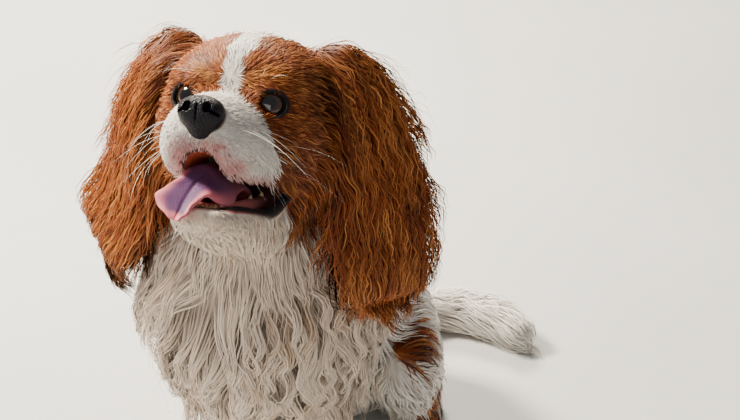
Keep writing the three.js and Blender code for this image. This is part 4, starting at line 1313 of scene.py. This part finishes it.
def march(volume, roots, length, height, look, draw):
    """The middles of strands: from each root a curve of MARCH steps that rises off the skin,
    lies along the coat and swings from side to side. Also the way out of the skin along it."""
    count = len(roots)
    swing, period = look["wave"]
    swing = swing * (0.75 + 0.45 * wobble(roots, 50, 76))
    slope = (2 * math.pi * swing / period)[:, None]
    roll = 2 * math.pi * look["curl"] / period
    phase = draw.normal(0, look.get("loose", 0.25), count) + wobble(roots, 46, 77) * 3.2
    step = length / MARCH
    point = roots.copy()
    _, out, lie = volume.at(point)
    way = unit(lie - out * np.sum(lie * out, 1, keepdims=True))
    carried = out
    points, outs = [point], [out]
    skew = (wobble(roots, 45, 78) * 0.3 + draw.normal(0, 0.09, count))[:, None]
    for k in range(MARCH):
        s = (k + 0.5) / MARCH
        distance, out, lie = volume.at(point)
        known = np.linalg.norm(lie, axis=1, keepdims=True) > 0.2
        way = unit(np.where(known, way * 0.5 + unit(lie) * 0.5, way))
        way = unit(way + np.array([0, 0, -look["sag"] * s]))
        flat = unit(way - out * np.sum(way * out, 1, keepdims=True) * 0.85)
        side = unit(np.cross(out, flat))
        turn = (phase + 2 * math.pi * s * (1 + HOOK * s * s) * length / period)[:, None]
        rise = np.clip((height * min(1, 1.6 * (s + 0.08)) - distance) / step, -0.5, 0.9)[:, None]
        swell = min(1, 0.35 + s * 1.3)
        sway = side * (slope * np.cos(turn) * swell + skew * (1 - s))
        point = point + unit(flat + sway + out * (rise + roll * np.sin(turn) * swell)) * step[:, None]
        distance, out, _ = volume.at(point)
        point = point + out * np.maximum(SKIN_GAP - distance, 0)[:, None]
        point[:, 2] = np.maximum(point[:, 2], FLOOR_GAP)
        steady = np.sum(out * carried, 1, keepdims=True) > 0.25
        carried = unit(np.where(steady, carried * 0.6 + out * 0.4, carried))
        points.append(point)
        outs.append(carried)
    return np.stack(points, 1), np.stack(outs, 1)


def nearest(points, others, batch=2000):
    """For each point, the number of the nearest of the others."""
    found = np.empty(len(points), int)
    for start in range(0, len(points), batch):
        part = points[start:start + batch].astype(np.float32)
        gap = ((part[:, None] - others[None].astype(np.float32)) ** 2).sum(-1)
        found[start:start + batch] = gap.argmin(1)
    return found


def sampled(curves, s):
    """Points of the curves at the places s along them, from 0 to 1."""
    place = np.clip(s, 0, 1) * (curves.shape[1] - 1)
    base = np.minimum(place.astype(int), curves.shape[1] - 2)
    part = (place - base)[..., None]
    row = np.arange(len(curves))[:, None]
    return curves[row, base] * (1 - part) + curves[row, base + 1] * part


def strand_faces(rings):
    """Triangles of one three-sided strand: rings of three corners, then its tip."""
    faces = [(0, 2, 1)]
    for ring in range(rings - 1):
        for k in range(3):
            a, b = ring * 3 + k, ring * 3 + (k + 1) % 3
            faces += [(a, b, b + 3), (a, b + 3, a + 3)]
    last = (rings - 1) * 3
    faces += [(last + k, last + (k + 1) % 3, last + 3) for k in range(3)]
    return np.array(faces)


def grow_strands(name, middles, outs, width, tint, shade, place, seed):
    """Joins strands into one piece. middles and outs are their points and the way out of the
    skin there, shade is how bright their roots are, painted shade deep in the coat, and place
    each root's place on the skin's unwrap."""
    draw = np.random.default_rng(seed)
    count, rings = middles.shape[0], middles.shape[1] - 1
    ahead = unit(np.gradient(middles, axis=1))
    up = unit(outs - ahead * np.sum(outs * ahead, -1, keepdims=True))
    side = np.cross(ahead, up)
    s = np.linspace(0, 1, rings + 1)[:-1]
    shape = np.interp(s, *zip(*TAPER))
    half = (width[:, None] * shape[None] / 2)[..., None]
    twist = draw.normal(0, TWIST, (count, 1, 1))
    side, up = side * np.cos(twist) + up * np.sin(twist), up * np.cos(twist) - side * np.sin(twist)
    ring = middles[:, :-1]
    corners = [ring + side[:, :-1] * half, ring - side[:, :-1] * half, ring + up[:, :-1] * half * FLATNESS]
    body = np.stack(corners, 2).reshape(count, rings * 3, 3)
    vertices = np.concatenate([body, middles[:, -1:]], 1)
    soft = unit(outs * SOFT + up * (1 - SOFT))
    facing = [soft[:, :-1] + side[:, :-1] * ROUND, soft[:, :-1] - side[:, :-1] * ROUND, soft[:, :-1]]
    normals = np.concatenate([np.stack(facing, 2).reshape(count, rings * 3, 3), soft[:, -1:]], 1)
    per = rings * 3 + 1
    faces = strand_faces(rings)[None] + (np.arange(count) * per)[:, None, None]
    down = np.concatenate([np.repeat(s, 3), [1]])
    # Painted shade: each strand is darker towards its root, deep in the coat, and lightest at its tip.
    dark = shade[:, None] + (TIP_SHADE - shade[:, None]) * ramp(down, 0.0, 0.6)[None]
    colours = tint[:, None] * dark[..., None]
    across = np.concatenate([np.tile([-0.5, 0.5, 0.0], rings), [0]])
    down = np.concatenate([np.repeat(s, 3) + np.tile([0, 0, 0.12], rings), [1]]) - 0.5
    patch = np.stack([across, down], 1) * BAKE_PATCH
    spots = place[:, None] * (1 - 2 * BAKE_PATCH) + BAKE_PATCH + patch[None]
    piece = mesh_piece(name, vertices.reshape(-1, 3), faces.reshape(-1, 3), HAIR_FINISH, slot="white_coat",
                       colours=colours.reshape(-1, 3), normals=unit(normals).reshape(-1, 3))
    layer = piece.data.uv_layers.new(name="OFBake", do_init=False)
    layer.data.foreach_set("uv", spots.reshape(-1, 2).astype(np.float32)[faces.ravel()].ravel())
    return piece


def free_share(points):
    """1 where hair grows and 0 on the nose, the eyes, the mouth and the soles."""
    local = to_head(points)
    free = ramp(mouth_distance(local), 0.8, 2.0) * ramp(roll_distance(local, GUM), 1, 3)
    bristly = ramp(-local[:, 1], 20, 30) * ramp(-local[:, 2], 63, 65)
    free = free * np.maximum(ramp(roll_distance(local, LOWER_LIP), 0.2, 1.4), bristly)
    for side in SIDES:
        ball, opening = eye_parts(local, side)
        free = free * np.where(ball < 16, ramp(opening, 1.6, 2.8), 1)
    free = free * ramp(form_distance(local, NOSE), 0.0, 1.0)
    free = free * (1 - 0.45 * ramp(-roll_distance(local, UPPER_LIP, 0), -6, -1.5))
    return free * ramp(points[:, 2], 1.5, 3.0)


def face_share(points):
    """1 on the short-haired face and 0 on the rest of the head."""
    local = to_head(points)
    x, y, z = np.abs(local[:, 0]), local[:, 1], local[:, 2]
    return ramp(-y + 0.25 * z - 0.25 * np.maximum(x - 20, 0), -16, 0) * (1 - ramp(-z, 70, 76))


def crown_share(points):
    """1 on the crown and the roots of the ears."""
    local = to_head(points)
    return ramp(local[:, 2], 8, 24) * ramp(local[:, 1], -2, 14)


HEAD_HAIR = [(-52, 2.6), (-40, 3.6), (-20, 5), (-8, 6.5), (5, 9), (20, 13), (45, 20), (80, 26)]


def head_length(points):
    """The length of the hair over the head, in mm: longer to the back, on cheeks and throat."""
    local = to_head(points)
    x, y, z = local.T
    back = np.interp(y, *zip(*HEAD_HAIR))
    cheek = ramp(np.abs(x), 16, 36) * ramp(y, -5, 22) * ramp(-z, -5, 25) * 8
    throat = ramp(-z, 66, 78) * ramp(y, -34, -10) * 14
    return back + cheek + throat


def grown(volume, look, roots, layer, draw):
    """Curves of strands, the way out of the skin along them and their roots' places on the
    unwrap. layer is how far up in the coat they lie, from 0 to 1."""
    on_head = look["grows_on"] == ["head"]
    _, _, depth, place = owners(roots)
    length = look["length"] * (head_length(roots) if on_head else 1.0)
    height = 0.8 + look["lift"] * length if on_head else depth * look["high"]
    long = length * np.ones(len(roots)) * draw.uniform(*LENGTHS, len(roots))
    curves, outs = march(volume, roots, long, height * layer, look, draw)
    return curves, outs, place


def gathered(look, curves, outs, locks, aside, layer, stray, draw):
    """The strands drawn towards their locks' curves: their points and the way out of the skin.
    aside is from each lock's root to the strand's."""
    count = len(curves)
    reach = np.where(stray, 1.0, draw.uniform(*SHOWN, count))
    s = np.linspace(0, 1, look["rings"] + 1)[None] * reach[:, None]
    own, out = sampled(curves, s), unit(sampled(outs, s))
    lock = sampled(locks, s)
    together = (look.get("locks", 0.0) * np.where(stray, 0.5, 1))[:, None, None]
    beside = lock + aside[:, None] * (1 - 0.6 * ramp(s, 0.1, 1))[..., None]
    own = own * (1 - together) + beside * together
    gather = look["gather"] * draw.uniform(0.6, 1.1, count) * np.where(stray, 0.2, 1)
    pull = (gather[:, None] * ramp(s, 0, 0.9))[..., None]
    deep = ((1 - layer) * 0.5)[:, None] * ramp(s, 0, 0.6)
    middles = own * (1 - pull) + lock * pull - out * (deep * pull[..., 0] * 4)[..., None]
    jitter = draw.normal(0, 1, (count, 1, 3)) * ramp(s, 0.1, 1.0)[..., None]
    middles = middles + jitter * (look["wave"][0] * np.where(stray, 0.6, 0.14))[:, None, None]
    middles[..., 2] = np.maximum(middles[..., 2], 1.0)
    return middles, out


def strand_tint(name, roots, layer, seed, draw):
    """The colour of each strand, and how chestnut it is. Strands deeper in the coat are darker,
    painted shade, and golden strands come more often on top, partly painted highlight.
    """
    count = len(roots)
    ears = np.full(count, float("ear" in name))
    threshold = draw.uniform(0.3, 0.7, count)
    share = np.clip((chestnut_share(roots, ears) - threshold) * 5 + 0.5, 0, 1)
    tint = hair_tint(roots, share, seed)
    # Random golden strands, more of them on top of the coat: the coat's own lighter hairs, with painted
    # highlight where light falls on top.
    golden_hairs_and_highlight = draw.random(count) ** 3 * share * (0.4 + layer)
    tint = mixed(tint, PALE_CHESTNUT, golden_hairs_and_highlight * 0.6)
    # Strands deeper in the coat are darker: painted shade between the layers.
    return tint * draw.uniform(*TONES, (count, 1)) * (0.74 + 0.28 * layer[:, None]), share


def coat_piece(name, look, volume, skin, seed):
    """One piece of the coat: its locks first, and then the strands that gather into them."""
    draw = np.random.default_rng(seed)
    vertices, faces, names, part, weight = skin
    chance = weight * np.isin(part, [names.index(n) for n in look["grows_on"]])
    if "zone" in look:
        chance = chance * look["zone"](vertices)
    count = look["count"]
    tufts = scattered(vertices, faces, chance, look["tufts"], draw)
    roots = scattered(vertices, faces, chance, count, draw)
    which = nearest(roots, tufts)
    tuft_curves, _, _ = grown(volume, look, tufts, LOCK_LAYER, draw)
    layer = np.sqrt(draw.uniform(LOWEST_LAYER, 1.0, count))
    curves, outs, place = grown(volume, look, roots, layer, draw)
    stray = draw.random(count) < STRAYS
    aside = roots - tufts[which]
    middles, out = gathered(look, curves, outs, tuft_curves[which], aside, layer, stray, draw)
    tint, share = strand_tint(name, roots, layer, seed + 3, draw)
    width = look["width"] * draw.uniform(*WIDTHS, count) * np.where(stray, 0.6, 1)
    shade = ROOT_SHADE[0] + (ROOT_SHADE[1] - ROOT_SHADE[0]) * share
    return grow_strands(name, middles, out, width, tint, shade, place, seed + 9)


WHISKERS = [  # place on the dog's left, way out of the skin and length
    *[((20, -43 + 5 * k, -20 - 7 * row), (1, 0.1 + 0.22 * k, -0.1 - 0.22 * row), 24 + 7 * k)
      for row in range(3) for k in range(4)],
    ((30, -12, -24), (0.9, 0.3, 0.25), 46),
    ((31, -4, -30), (0.9, 0.5, 0.0), 40),
    ((19, -10, 14), (0.6, -0.7, 0.7), 14),
    ((24, -8, 13), (0.9, -0.5, 0.6), 17),
    ((7, -38, -74), (0.3, -0.8, -0.5), 12),
    ((3, -38, -74), (0.1, -0.9, -0.6), 10),
]
WHISKER_WIDTH = 0.22


def make_whiskers(vertices, rings=10):
    """Long, thin, white hairs on the muzzle, the cheeks, the brows and the chin."""
    draw = np.random.default_rng(7)
    rows = [((side * at[0], *at[1:]), (side * way[0], *way[1:]), long)
            for side in SIDES for at, way, long in WHISKERS]
    places, ways, lengths = (np.array(column, float) for column in zip(*rows))
    count = len(rows)
    roots = vertices[nearest(from_head(places), vertices)]
    ways = unit(ways + draw.normal(0, 0.12, (count, 3))) @ HEAD_AXES.T
    bend = draw.normal(0, 0.22, (count, 3)) + np.array([0, 0.1, -0.5])
    lengths = lengths * draw.uniform(0.8, 1.2, count)
    s = np.linspace(0, 1, rings + 1)[None, :, None]
    middles = roots[:, None] + lengths[:, None, None] * (s * ways[:, None] + s**2 * bend[:, None])
    outs = np.repeat(unit(np.cross(ways, np.cross(np.array(UP, float), ways)))[:, None], rings + 1, axis=1)
    _, _, _, place = owners(roots)
    tint = np.tile(WHITE_HAIR, (count, 1))
    width = np.full(count, WHISKER_WIDTH)
    return grow_strands("whiskers", middles, outs, width, tint, np.ones(count), place, 8)


def make_coat(vertices, faces):
    """All pieces of the coat, and the whiskers."""
    volume = Volume()
    names, part, _, _ = owners(vertices)
    skin = (vertices, faces, names, part, free_share(vertices))
    for number, (name, look) in enumerate(COAT.items()):
        coat_piece(name, look, volume, skin, 100 + 10 * number)
    make_whiskers(vertices)


place_camera()
make_stage()
skin_vertices, skin_faces = make_skin()
make_eye(1, "eye_left")
make_eye(-1, "eye_right")
make_lids()
make_nose()
make_tongue()
make_teeth()
make_claws()
make_coat(skin_vertices, skin_faces)
